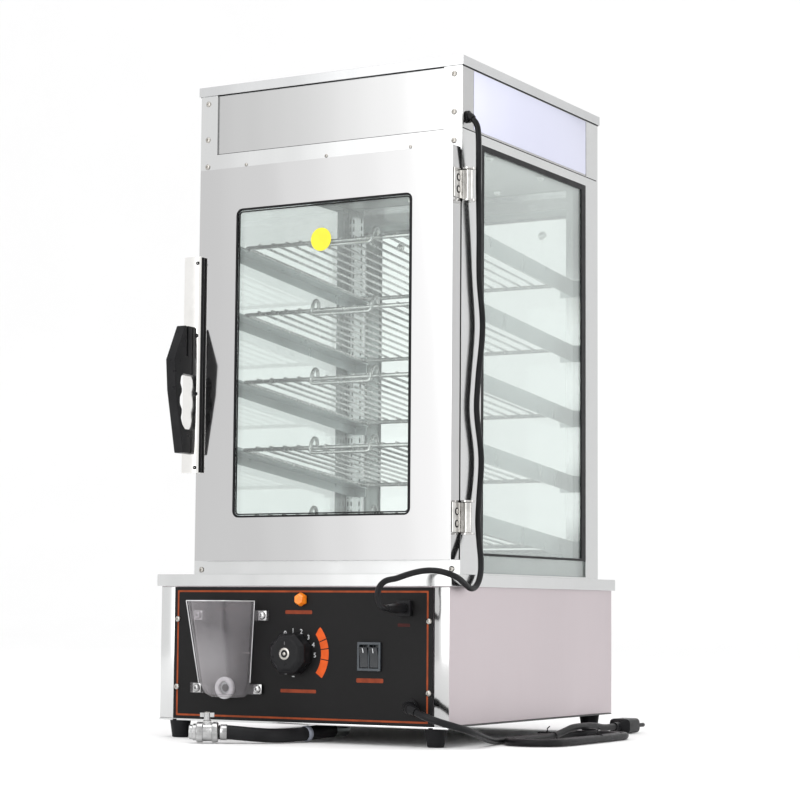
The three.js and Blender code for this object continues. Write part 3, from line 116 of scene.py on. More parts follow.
class Nodes:
    """A material's node tree in the making."""

    def __init__(self, name: str) -> None:
        """Starts a material.

        Args:
            name: its name.
        """
        self.material = bpy.data.materials.new(name)
        self.material.use_nodes = True
        self.tree = self.material.node_tree
        self.shader = self.tree.nodes["Principled BSDF"]
        self.place = self.add("TexCoord").outputs["Object"]

    def add(self, kind: str, **inputs: object) -> bpy.types.Node:
        """Adds a node and fills or links its inputs.

        Args:
            kind: the node's type without its common start.
            inputs: values or sockets by input name, with _ for a space.

        Returns:
            The new node.
        """
        node = self.tree.nodes.new("ShaderNode" + kind)
        for name, value in inputs.items():
            self.feed(node.inputs[name.replace("_", " ")], value)
        return node

    def feed(self, socket: Socket, value: object) -> None:
        """Links a socket to an input, or sets its value.

        Args:
            socket: the input.
            value: a socket or a plain value.
        """
        if isinstance(value, Socket):
            self.tree.links.new(value, socket)
        else:
            socket.default_value = value

    def noise(self, scale: float, stretch: Point, detail: float) -> Socket:
        """Noise over the piece.

        Args:
            scale: patches in a metre.
            stretch: how the pattern is drawn along X, Y and Z.
            detail: finer steps in it.

        Returns:
            The noise's value.
        """
        mapped = self.add("Mapping", Vector=self.place, Scale=stretch).outputs["Vector"]
        return self.add("TexNoise", Vector=mapped, Scale=scale, Detail=detail).outputs["Fac"]

    def ramp(self, value: Socket, shade: Point, tone: Point) -> Socket:
        """Colours a value from a shade to a tone.

        Args:
            value: what is coloured.
            shade: the colour of its low parts.
            tone: the colour of its high parts.

        Returns:
            The colour.
        """
        node = self.add("ValToRGB", Fac=value)
        for stop, place, colour in zip(node.color_ramp.elements, (SHADE_AT, TONE_AT), (shade, tone)):
            stop.position, stop.color = place, (*colour, 1.0)
        return node.outputs["Color"]

    def spread(self, value: Socket, low: float, high: float) -> Socket:
        """Turns noise into a number between two others."""
        return self.add("MapRange", Value=value, From_Min=0.3, From_Max=0.7, To_Min=low, To_Max=high).outputs["Result"]


@dataclass(frozen=True)
class Finish:
    """Opaque finish: a tone and a gloss that drift over the piece, and a fine relief."""

    name: str
    tone: Point
    shade: Point
    rough: Pair
    patch: float
    grain: float
    depth: float
    relief: Relief = Relief.MOULDED
    settings: tuple[tuple[str, float], ...] = ()
    slot: str = "black_plastic"
    metal: float = 0.0

    def material(self) -> bpy.types.Material:
        """Returns the finish's material, made once."""
        return bpy.data.materials.get(self.name) or self.mix()

    def coat(self, nodes: Nodes) -> None:
        """Gives the shader its tone, gloss, relief and plain settings.

        Args:
            nodes: the tree that gets them.
        """
        drift = nodes.noise(self.patch, self.relief.value, 3.0)
        nodes.feed(nodes.shader.inputs["Base Color"], nodes.ramp(drift, self.shade, self.tone))
        worn = nodes.noise(self.patch * 4.0, self.relief.value, 5.0)
        nodes.feed(nodes.shader.inputs["Roughness"], nodes.spread(worn, *self.rough))
        fine = nodes.noise(self.grain, self.relief.value, 2.0)
        bump = nodes.add("Bump", Strength=self.depth, Distance=BUMP, Height=fine)
        nodes.feed(nodes.shader.inputs["Normal"], bump.outputs["Normal"])
        nodes.shader.inputs["Metallic"].default_value = self.metal
        for name, value in self.settings:
            nodes.shader.inputs[name].default_value = value

    def mix(self) -> bpy.types.Material:
        """Builds the material.

        Returns:
            The material.
        """
        nodes = Nodes(self.name)
        self.coat(nodes)
        return nodes.material


@dataclass(frozen=True)
class ClearFinish(Finish):
    """See-through finish: light passes with a tint, and a film of gloss lies over it, thicker in a cloud."""

    slot: str = "glass"
    metal: float = 0.6
    tint: Point = (1.0, 1.0, 1.0)
    film: Pair = (0.05, 0.8)
    cloud: Point = (0.0, 0.0, 0.0)
    cloud_reach: float = 0.0
    cloud_film: float = 0.0

    def mix(self) -> bpy.types.Material:
        """Builds the material, with more film at a slant.

        Returns:
            The material.
        """
        nodes = Nodes(self.name)
        self.coat(nodes)
        slant = nodes.add("LayerWeight", Blend=0.25).outputs["Facing"]
        film = nodes.add("MapRange", Value=slant, To_Min=self.film[0], To_Max=self.film[1]).outputs["Result"]
        if self.cloud_reach:
            away = nodes.add("VectorMath", Vector=nodes.place)
            away.operation = "DISTANCE"
            away.inputs[1].default_value = spot(*self.cloud)
            mist = nodes.add("MapRange", Value=away.outputs["Value"], From_Min=self.cloud_reach * MM, From_Max=0.0,
                             To_Max=self.cloud_film).outputs["Result"]
            total = nodes.add("Math")
            nodes.feed(total.inputs[0], film)
            nodes.feed(total.inputs[1], mist)
            film = total.outputs["Value"]
        through = nodes.add("BsdfTransparent", Color=(*self.tint, 1.0)).outputs["BSDF"]
        both = nodes.add("MixShader", Fac=film)
        nodes.feed(both.inputs[1], through)
        nodes.feed(both.inputs[2], nodes.shader.outputs["BSDF"])
        nodes.feed(nodes.tree.nodes["Material Output"].inputs["Surface"], both.outputs["Shader"])
        return nodes.material


DULL = (("Specular IOR Level", 0.16),)


@dataclass(frozen=True)
class Sheet(Finish):
    """Polished or rolled sheet metal."""

    relief: Relief = Relief.POLISHED
    slot: str = "steel"
    metal: float = 1.0


@dataclass(frozen=True)
class Plating(Finish):
    """Plated metal of fastenings, wires and fittings."""

    slot: str = "chrome"
    metal: float = 1.0


@dataclass(frozen=True)
class Rubber(Finish):
    """Dull rubber of cords, feet and seals."""

    settings: tuple[tuple[str, float], ...] = DULL
    slot: str = "rubber"


@dataclass(frozen=True)
class Ink(Finish):
    """Dull print on the panel."""

    rough: Pair = (0.42, 0.55)
    patch: float = 90.0
    grain: float = 3000.0
    depth: float = 0.04
    settings: tuple[tuple[str, float], ...] = DULL


DOOR_STEEL = Sheet("door_steel", (0.57, 0.568, 0.57), (0.545, 0.543, 0.545), (0.05, 0.09), 5.0, 500.0, 0.008,
                   Relief.ROLLED)
BODY_STEEL = Sheet("body_steel", (0.66, 0.665, 0.665), (0.61, 0.615, 0.615), (0.12, 0.2), 7.0, 600.0, 0.02,
                   Relief.ROLLED)
HEAD_STEEL = Sheet("head_steel", (0.54, 0.54, 0.54), (0.5, 0.5, 0.5), (0.1, 0.16), 5.0, 600.0, 0.02, Relief.ROLLED)
LID_STEEL = Sheet("lid_steel", (0.62, 0.625, 0.63), (0.57, 0.575, 0.58), (0.14, 0.22), 7.0, 600.0, 0.02, Relief.ROLLED)
CEILING_STEEL = Sheet("ceiling_steel", (0.38, 0.385, 0.385), (0.31, 0.315, 0.315), (0.3, 0.42), 9.0, 600.0, 0.03)
BASE_STEEL = Sheet("base_steel", (0.552, 0.496, 0.514), (0.528, 0.474, 0.492), (0.4, 0.48), 5.0, 700.0, 0.02)
INNER_STEEL = Sheet("inner_steel", (0.4, 0.43, 0.43), (0.33, 0.36, 0.36), (0.26, 0.38), 12.0, 700.0, 0.03)
HEAD_FILM = Sheet("head_film", (0.67, 0.68, 0.81), (0.64, 0.65, 0.79), (0.3, 0.4), 6.0, 500.0, 0.01, metal=0.35)
WIRE = Plating("plated_wire", (0.5, 0.5, 0.49), (0.4, 0.41, 0.4), (0.16, 0.3), 60.0, 1500.0, 0.05, slot="wire")
CHROME = Plating("bright_plate", (0.84, 0.83, 0.81), (0.8, 0.79, 0.77), (0.08, 0.16), 40.0, 900.0, 0.01)
HINGE_PLATE = Plating("hinge_plate", (0.7, 0.69, 0.67), (0.5, 0.49, 0.475), (0.08, 0.18), 70.0, 900.0, 0.02)
NICKEL = Plating("dull_nickel", (0.56, 0.56, 0.56), (0.34, 0.34, 0.34), (0.12, 0.24), 70.0, 900.0, 0.04)
TRIM = Finish("handle_trim", (0.12, 0.12, 0.125), (0.08, 0.08, 0.085), (0.25, 0.4), 60.0, 900.0, 0.06)
BRASS_SCREW = Plating("screw_plate", (0.5, 0.48, 0.45), (0.36, 0.345, 0.32), (0.2, 0.34), 200.0, 2500.0, 0.06)
PANEL_BLACK = Finish("panel_black", (0.0065, 0.0062, 0.0065), (0.0042, 0.004, 0.0042), (0.4, 0.5), 8.0, 2600.0, 0.03,
                     settings=DULL, slot="steel")
# dark steel that paints the shade under the base onto its bottom plate
UNDER_SHADE_STEEL = Sheet("under_painted_shade_steel", (0.13, 0.13, 0.13), (0.09, 0.09, 0.09), (0.35, 0.45), 9.0, 700.0, 0.03)
ROCKER_DARK = Finish("rocker_dark", (0.02, 0.023, 0.026), (0.013, 0.015, 0.018), (0.16, 0.26), 60.0, 2400.0, 0.05)
PLASTIC = Finish("black_moulding", (0.012, 0.012, 0.013), (0.007, 0.007, 0.008), (0.26, 0.42), 30.0, 1800.0, 0.12,
                 settings=DULL)
ROCKER_PLASTIC = Finish("rocker_moulding", (0.05, 0.06, 0.068), (0.035, 0.042, 0.05), (0.18, 0.28), 60.0, 2400.0, 0.05)
RUBBER = Rubber("black_rubber", (0.01, 0.01, 0.011), (0.006, 0.006, 0.007), (0.5, 0.7), 40.0, 1600.0, 0.18)
SHEATH = Rubber("cord_sheath", (0.012, 0.012, 0.013), (0.007, 0.007, 0.008), (0.3, 0.45), 60.0, 1400.0, 0.1)
HOSE = Rubber("hose_rubber", (0.014, 0.014, 0.015), (0.008, 0.008, 0.009), (0.38, 0.52), 50.0, 1200.0, 0.12)
# Black rubber of the real seals and beads; the same black also paints the shade in the head's gaps, on the handle bar's
# right side and inside the upright's slots.
BLACK_SEAL_AND_SHADE = Rubber("seal_and_shade_black", (0.006, 0.006, 0.007), (0.004, 0.004, 0.005), (0.3, 0.45), 30.0, 1500.0, 0.08)
GREY_NYLON = Rubber("grey_nylon", (0.32, 0.34, 0.4), (0.25, 0.27, 0.32), (0.4, 0.5), 60.0, 1500.0, 0.08, settings=())
ORANGE = Ink("orange_print", (0.68, 0.1, 0.015), (0.56, 0.08, 0.012))
BORDER = Ink("border_print", (0.3, 0.055, 0.015), (0.21, 0.04, 0.011))
CAPTION = Ink("caption_print", (0.24, 0.043, 0.015), (0.17, 0.03, 0.011), patch=120.0)
DIM_RED = Ink("dim_red_print", (0.05, 0.008, 0.007), (0.032, 0.006, 0.005))
WHITE = Ink("white_print", (0.7, 0.71, 0.72), (0.5, 0.51, 0.52), patch=120.0, settings=())
YELLOW = Finish("yellow_sticker", (0.8, 0.7, 0.015), (0.72, 0.62, 0.012), (0.3, 0.4), 60.0, 2000.0, 0.03,
                settings=(("Coat Weight", 0.3),))
AMBER = Finish("amber_lens", (0.95, 0.27, 0.015), (0.86, 0.2, 0.01), (0.12, 0.2), 120.0, 1500.0, 0.05,
               settings=(("Subsurface Weight", 0.25), ("Subsurface Scale", 0.004), ("Coat Weight", 0.5)),
               slot="amber_plastic")
OPAL = Finish("opal_glass", (0.9, 0.88, 0.82), (0.84, 0.82, 0.76), (0.25, 0.35), 25.0, 900.0, 0.04,
              settings=(("Subsurface Weight", 0.3), ("Subsurface Scale", 0.01)), slot="lamp_glass")
INLET_WHITE = Finish("inlet_nylon", (0.7, 0.7, 0.71), (0.55, 0.55, 0.56), (0.15, 0.25), 80.0, 1600.0, 0.06,
                     slot="clear_plastic")
# pale lines along the clear box's edges: painted highlights
EDGE_HIGHLIGHT = Finish("clear_edge_highlight", (0.8, 0.8, 0.81), (0.55, 0.55, 0.56), (0.15, 0.25), 60.0, 1600.0, 0.04,
                    slot="clear_plastic")
PANE = ClearFinish("window_pane", (0.9, 0.94, 0.925), (0.88, 0.92, 0.905), (0.015, 0.05), 9.0, 300.0, 0.004,
                   tint=(0.97, 0.99, 0.982), film=(0.01, 1.15))
SIDE_PANE = ClearFinish("side_pane", (0.8, 0.845, 0.83), (0.78, 0.825, 0.81), (0.015, 0.05), 9.0, 300.0, 0.004,
                        tint=(0.955, 0.977, 0.968), film=(0.01, 1.05))
CLEAR_BOX = ClearFinish("clear_moulding", (0.66, 0.64, 0.65), (0.54, 0.525, 0.54), (0.12, 0.24), 22.0, 260.0, 0.012,
                        Relief.POLISHED, slot="clear_plastic", metal=0.0, tint=(0.94, 0.93, 0.94), film=(0.03, 0.62),
                        cloud=(-90.0, -90.0, 84.0), cloud_reach=42.0, cloud_film=0.22)


def placed(name: str, data: bpy.types.ID) -> Model:
    """Puts an object into the scene.

    Args:
        name: its name.
        data: its mesh, curve, camera or light.

    Returns:
        The object.
    """
    made = bpy.data.objects.new(name, data)
    bpy.context.scene.collection.objects.link(made)
    return made


class Shape:
    """A piece in the making: closed forms gathered in one bmesh, placed in the row frame."""

    def __init__(self) -> None:
        """Starts empty."""
        self.mesh = bmesh.new()

    def block(self, low: Point, high: Point, bevel: float = 0.0) -> "Shape":
        """Adds a box with softened edges.

        Args:
            low: its lowest corner in millimetres.
            high: its highest corner.
            bevel: width of the softened edges.

        Returns:
            The shape itself.
        """
        first, last = spot(*low), spot(*high)
        size = Matrix.Diagonal((*(last - first), 1.0))
        made = bmesh.ops.create_cube(self.mesh, size=1.0, matrix=Matrix.Translation((first + last) / 2) @ size)
        if bevel:
            self.soften(list({edge for vert in made["verts"] for edge in vert.link_edges}), bevel)
        return self

    def soften(self, edges: list[bmesh.types.BMEdge], width: float, segments: int = 2) -> None:
        """Rounds edges by a width in millimetres."""
        bmesh.ops.bevel(self.mesh, geom=edges, offset=width * MM, offset_type="OFFSET", segments=segments,
                        affect="EDGES", profile=0.5, material=-1, clamp_overlap=True)

    def turned(self, foot: Vector, way: Sequence[float], profile: Sequence[Pair], steps: int) -> "Shape":
        """Adds a round body.

        Args:
            foot: where it starts, in metres.
            way: the direction of its axis.
            profile: pairs of distance along the axis and radius in millimetres, closed at both ends by radius 0.
            steps: sides round it.

        Returns:
            The shape itself.
        """
        axis = Vector(way).normalized()
        place = Matrix.Translation(foot) @ axis.to_track_quat("Z", "Y").to_matrix().to_4x4()
        verts = [self.mesh.verts.new(place @ Vector((radius * MM, 0.0, along * MM))) for along, radius in profile]
        edges = [self.mesh.edges.new(pair) for pair in zip(verts, verts[1:])]
        old = set(self.mesh.verts) - set(verts)
        bmesh.ops.spin(self.mesh, geom=verts + edges, cent=foot, axis=axis, angle=2 * pi, steps=steps,
                       use_merge=True)
        return self.weld(old)

    def weld(self, old: set[bmesh.types.BMVert]) -> "Shape":
        """Merges the doubles among the vertices that aren't old."""
        bmesh.ops.remove_doubles(self.mesh, verts=[v for v in self.mesh.verts if v not in old], dist=WELD)
        return self

    def plate(self, outline: Sequence[Vector], thickness: Vector) -> "Shape":
        """Adds a flat plate.

        Args:
            outline: its corners in metres.
            thickness: the way and length it is extruded.

        Returns:
            The shape itself.
        """
        face = self.mesh.faces.new([self.mesh.verts.new(corner) for corner in outline])
        self.thicken([face], thickness)
        return self

    def ring(self, outer: Sequence[Vector], inner: Sequence[Vector], thickness: Vector) -> "Shape":
        """Adds a flat frame between two outlines with the same number of corners.

        Args:
            outer: corners of its outside.
            inner: corners of its opening.
            thickness: the way and length it is extruded.

        Returns:
            The shape itself.
        """
        loops = []
        for outline in (outer, inner):
            verts = [self.mesh.verts.new(corner) for corner in outline]
            loops += [self.mesh.edges.new((a, b)) for a, b in zip(verts, verts[1:] + verts[:1])]
        self.thicken(bmesh.ops.bridge_loops(self.mesh, edges=loops)["faces"], thickness)
        return self

    def thicken(self, faces: list[bmesh.types.BMFace], by: Vector) -> None:
        """Extrudes faces into a solid."""
        made = bmesh.ops.extrude_face_region(self.mesh, geom=faces, use_keep_orig=True)["geom"]
        bmesh.ops.translate(self.mesh, verts=[v for v in made if isinstance(v, bmesh.types.BMVert)], vec=by)

    def wire(self, points: Sequence[Vector], radius: float, resolution: int, radii: Sequence[float] = ()) -> "Shape":
        """Adds a round wire with closed ends.

        Args:
            points: its middle line in metres.
            radius: its radius in millimetres.
            resolution: steps in a quarter of its section.
            radii: its radius at each point as a share of the radius, where it changes.

        Returns:
            The shape itself.
        """
        curve = bpy.data.curves.new("wire", "CURVE")
        curve.dimensions, curve.bevel_depth, curve.bevel_resolution = "3D", radius * MM, resolution
        curve.use_fill_caps = True
        spline = curve.splines.new("POLY")
        spline.points.add(len(points) - 1)
        for i, point in enumerate(points):
            spline.points[i].co = (*point, 1.0)
            spline.points[i].radius = radii[i] if radii else 1.0
        return self.traced(curve)

    def traced(self, curve: bpy.types.Curve, place: Matrix = Matrix()) -> "Shape":
        """Adds the form of a curve or text, which is used up.

        Args:
            curve: the curve.
            place: where it goes.

        Returns:
            The shape itself.
        """
        model = placed("traced", curve)
        data = bpy.data.meshes.new_from_object(model)
        data.transform(place)
        old = set(self.mesh.verts)
        self.mesh.from_mesh(data)
        bpy.data.objects.remove(model)
        bpy.data.curves.remove(curve)
        bpy.data.meshes.remove(data)
        return self.weld(old)

    def screw(self, x: float, y: float, z: float, way: Way, head: float, proud: float) -> "Shape":
        """Adds a pan head with a recess.

        Args:
            x: place of its seat to the right, in millimetres.
            y: its depth.
            z: its height.
            way: where it faces.
            head: radius of the head.
            proud: its height.

        Returns:
            The shape itself.
        """
        profile = ((0.0, 0.0), (0.0, head), (proud * 0.35, head), (proud * 0.8, head * 0.82), (proud, head * 0.5),
                   (proud, head * 0.36), (proud * 0.3, head * 0.2), (proud * 0.3, 0.0))
        return self.turned(spot(x, y, z), way.value, profile, 16)

    def piece(self, name: str, finish: Finish, body: str = "case", nodes: Sequence[str] = (),
              smooth: float = 40.0) -> Model:
        """Closes the mesh and makes it a piece of the object.

        Args:
            name: the piece's name.
            finish: its finish.
            body: the CAD body that it rides on.
            nodes: CAD nodes that it stands for.
            smooth: angle in degrees up to which faces shade as one.

        Returns:
            The piece.
        """
        bmesh.ops.recalc_face_normals(self.mesh, faces=self.mesh.faces)
        data = self.closed(name)
        data.set_sharp_from_angle(angle=radians(smooth))
        return dress(placed(name, data), finish, body, nodes)

    def closed(self, name: str) -> bpy.types.Mesh:
        """Ends the bmesh and makes it a smooth mesh.

        Args:
            name: the mesh's name.

        Returns:
            The mesh.
        """
        data = bpy.data.meshes.new(name)
        self.mesh.to_mesh(data)
        self.mesh.free()
        data.shade_smooth()
        return data


def dress(made: Model, finish: Finish, body: str, nodes: Sequence[str] = ()) -> Model:
    """Gives a piece its finish and body, hides the CAD nodes that it stands for, and reports it.

    Args:
        made: the piece.
        finish: its finish.
        body: the CAD body that it rides on.
        nodes: CAD nodes that it stands for.

    Returns:
        The piece.
    """
    made.data.materials.clear()
    made.data.materials.append(finish.material())
    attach(made, body)
    if nodes:
        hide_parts(*nodes)
    LOG.info("%s: %s, rides on %s", made.name, finish.name, body)
    return made


def softened(node: str, finish: Finish, width: float = 0.4, segments: int = 2, sharp: float = 30.0) -> Model:
    """Stands in for a CAD node with its own form, its edges rounded.

    Args:
        node: the node's name.
        finish: its finish.
        width: width of the rounding in millimetres.
        segments: steps across it.
        sharp: angle in degrees from which an edge is rounded.

    Returns:
        The piece.
    """
    source = frame["nodes"][node]
    shape = Shape()
    shape.mesh.from_mesh(source.data)
    bmesh.ops.remove_doubles(shape.mesh, verts=shape.mesh.verts, dist=2 * WELD)
    bmesh.ops.dissolve_limit(shape.mesh, angle_limit=radians(FLAT), verts=shape.mesh.verts, edges=shape.mesh.edges)
    edges = [e for e in shape.mesh.edges if e.is_manifold and e.calc_face_angle(0.0) > radians(sharp)]
    shape.soften(edges, width, segments)
    return evened(shape.piece(f"{node}_shell", finish, source["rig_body"], (node,), SHELL_SHADE))


def evened(made: Model) -> Model:
    """Evens a piece's shading over its rounded edges."""
    made.modifiers.new("even_shading", "WEIGHTED_NORMAL").keep_sharp = True
    return made


def rounded(a: Pair, b: Pair, radius: float, steps: int, inset: float = 0.0) -> list[Pair]:
    """Outline of a rectangle with round corners.

    Args:
        a: its first and last value across.
        b: its first and last value upwards.
        radius: radius of its corners.
        steps: steps round each.
        inset: how far it lies inside those values.

    Returns:
        Its corners as pairs.
    """
    (a0, a1), (b0, b1) = ((low + inset, high - inset) for low, high in (a, b))
    centres = ((a1 - radius, b1 - radius), (a0 + radius, b1 - radius), (a0 + radius, b0 + radius),
               (a1 - radius, b0 + radius))
    angles = [[radians(90.0 * (quarter + i / steps)) for i in range(steps + 1)] for quarter in range(4)]
    return [(ca + radius * cos(t), cb + radius * sin(t)) for (ca, cb), turn in zip(centres, angles) for t in turn]


def upright(outline: Sequence[Pair], y: float) -> list[Vector]:
    """Stands an outline upright at a depth in millimetres."""
    return [spot(x, y, z) for x, z in outline]


def arc(centre: Pair, radius: float, start: float, end: float, steps: int) -> list[Pair]:
    """Points along an arc, with its angles in degrees."""
    angles = [radians(start + (end - start) * i / steps) for i in range(steps + 1)]
    return [(centre[0] + radius * cos(t), centre[1] + radius * sin(t)) for t in angles]


def bezier_handles(points: Sequence[Vector]) -> list[tuple[Vector, Vector]]:
    """Handles that carry a smooth line through points, with its first and last stretch straight.

    Args:
        points: the points in metres.

    Returns:
        The left and right handle of each point.
    """
    inner = list(points[1:-1])
    run = [2 * inner[0] - inner[1], *inner, 2 * inner[-1] - inner[-2]]
    lefts, rights = {}, {}
    for i in range(1, len(run) - 2):
        p0, p1, p2, p3 = run[i - 1:i + 3]
        d0, d1, d2 = (max((b - a).length ** 0.5, 1e-6) for a, b in ((p0, p1), (p1, p2), (p2, p3)))
        rights[i] = p1 + ((p1 - p0) / d0 - (p2 - p0) / (d0 + d1) + (p2 - p1) / d1) * d1 / 3
        lefts[i + 1] = p2 - ((p2 - p1) / d1 - (p3 - p1) / (d1 + d2) + (p3 - p2) / d2) * d1 / 3
    handles = []
    for i, point in enumerate(points):
        before = points[max(i - 1, 0)]
        after = points[min(i + 1, len(points) - 1)]
        handles.append((lefts.get(i, point.lerp(before, 1 / 3)), rights.get(i, point.lerp(after, 1 / 3))))
    return handles


@dataclass
class Cord:
    """A free cord on its route, given in millimetres from the cabinet's front face."""

    name: str
    route: Sequence[Point]
    diameter: float
    far_end: str
    stiffness: str
    lay: str
    nodes: tuple[str, ...]
    finish: Finish = SHEATH
    pieces: list[Model] = field(default_factory=list)

    def build(self) -> None:
        points = [spot(*point) for point in self.route]
        curve = bpy.data.curves.new(self.name, "CURVE")
        curve.dimensions, curve.bevel_depth, curve.bevel_resolution = "3D", self.diameter / 2 * MM, 6
        curve.use_fill_caps, curve.resolution_u = True, 6
        spline = curve.splines.new("BEZIER")
        spline.bezier_points.add(len(points) - 1)
        for knot, point, (left, right) in zip(spline.bezier_points, points, bezier_handles(points)):
            knot.handle_left_type = knot.handle_right_type = "FREE"
            knot.co, knot.handle_left, knot.handle_right = point, left, right
        made = dress(placed(self.name, curve), self.finish, "case", self.nodes)


@dataclass
class Studio:
    """Camera at the photograph's view, a pale floor and soft light."""

    stand: Point = (1.302, -2.25545, 0.141)
    azimuth: float = 29.62
    elevation: float = 5.34
    roll: float = 0.43
    lens: float = 101.6
    brightness: float = 1.04  # of the world
    steps: int = 4  # strips beside the front panel, each weaker than the last
    step_edge: float = -1.095
    step_width: float = 0.13
    step_power: Pair = (0.6, 0.17)  # of the first strip, and what each next one loses

    def build(self) -> None:
        """Makes the camera, floor, lights and world."""
        self.camera()
        self.floor()
        self.light("front_panel", (-0.28, -2.3, 1.0), (-0.28, 0.0, 0.5), (1.5, 2.4), 20.0)
        first, loss = self.step_power
        for step in range(self.steps):
            x = self.step_edge - self.step_width * step
            self.light(f"front_step_{step + 1}", (x, -2.3, 1.0), (x, 0.0, 0.5), (self.step_width, 2.4),
                       first - loss * step)
        self.light("right_rear_panel", (2.6, 1.2, 1.3), (0.1, 0.1, 0.4), (1.4, 2.0), 12.0)
        self.light("overhead_panel", (0.1, -0.3, 2.5), (0.0, 0.0, 0.3), (1.6, 1.6), 14.0)
        self.world()

    def camera(self) -> None:
        """Stands the camera where the photograph was taken."""
        turn, rise, roll = (radians(value) for value in (self.azimuth, self.elevation, self.roll))
        ahead = Vector((-sin(turn) * cos(rise), cos(turn) * cos(rise), sin(rise)))
        right = Vector((cos(turn), sin(turn), 0.0))
        up = right.cross(ahead)
        right, up = right * cos(roll) + up * sin(roll), up * cos(roll) - right * sin(roll)
        data = bpy.data.cameras.new("camera")
        data.lens, data.sensor_width, data.clip_end = self.lens, 36.0, 50.0
        view = placed("camera", data)
        view.matrix_world = Matrix.Translation(self.stand) @ Matrix((right, up, -ahead)).transposed().to_4x4()
        bpy.context.scene.camera = view

    def floor(self) -> None:
        """Lays a pale floor that curves up far behind the object."""
        shape = Shape()
        profile = [(-5.0, 0.0), (5.0, 0.0)] + [
            (5.0 + 2.0 * sin(t), 2.0 - 2.0 * cos(t)) for t in (pi / 24 * i for i in range(1, 13))
        ] + [(7.0, 9.0)]
        verts = [shape.mesh.verts.new((-9.0, y, z - 0.0004)) for y, z in profile]
        edges = [shape.mesh.edges.new(pair) for pair in zip(verts, verts[1:])]
        made = bmesh.ops.extrude_edge_only(shape.mesh, edges=edges)["geom"]
        bmesh.ops.translate(shape.mesh, verts=[v for v in made if isinstance(v, bmesh.types.BMVert)], vec=(18, 0, 0))
        data = shape.closed("studio_floor")
        paper = Finish("studio_paper", (0.96, 0.96, 0.96), (0.95, 0.95, 0.95), (0.8, 0.9), 2.0, 200.0, 0.01, slot="")
        data.materials.append(paper.material())
        sweep = placed("studio_floor", data)

    def light(self, name: str, stand: Point, aim: Point, size: Pair, power: float) -> None:
        """Adds a soft area light.

        Args:
            name: its name.
            stand: where it stands, in metres.
            aim: the point it faces.
            size: its width and height.
            power: its power in watts.
        """
        data = bpy.data.lights.new(name, "AREA")
        data.shape, data.size, data.size_y, data.energy = "RECTANGLE", *size, power
        lamp = placed(name, data)
        facing = (Vector(aim) - Vector(stand)).to_track_quat("-Z", "Y")
        lamp.matrix_world = Matrix.Translation(stand) @ facing.to_matrix().to_4x4()

    def world(self) -> None:
        """Surrounds the scene with an even white light, shown as it is."""
        bpy.context.scene.view_settings.view_transform = "Standard"
        world = bpy.data.worlds.new("studio_world")
        bpy.context.scene.world = world
        world.use_nodes = True
        world.node_tree.nodes["Background"].inputs["Color"].default_value = (1.0, 1.0, 1.0, 1.0)
        world.node_tree.nodes["Background"].inputs["Strength"].default_value = self.brightness


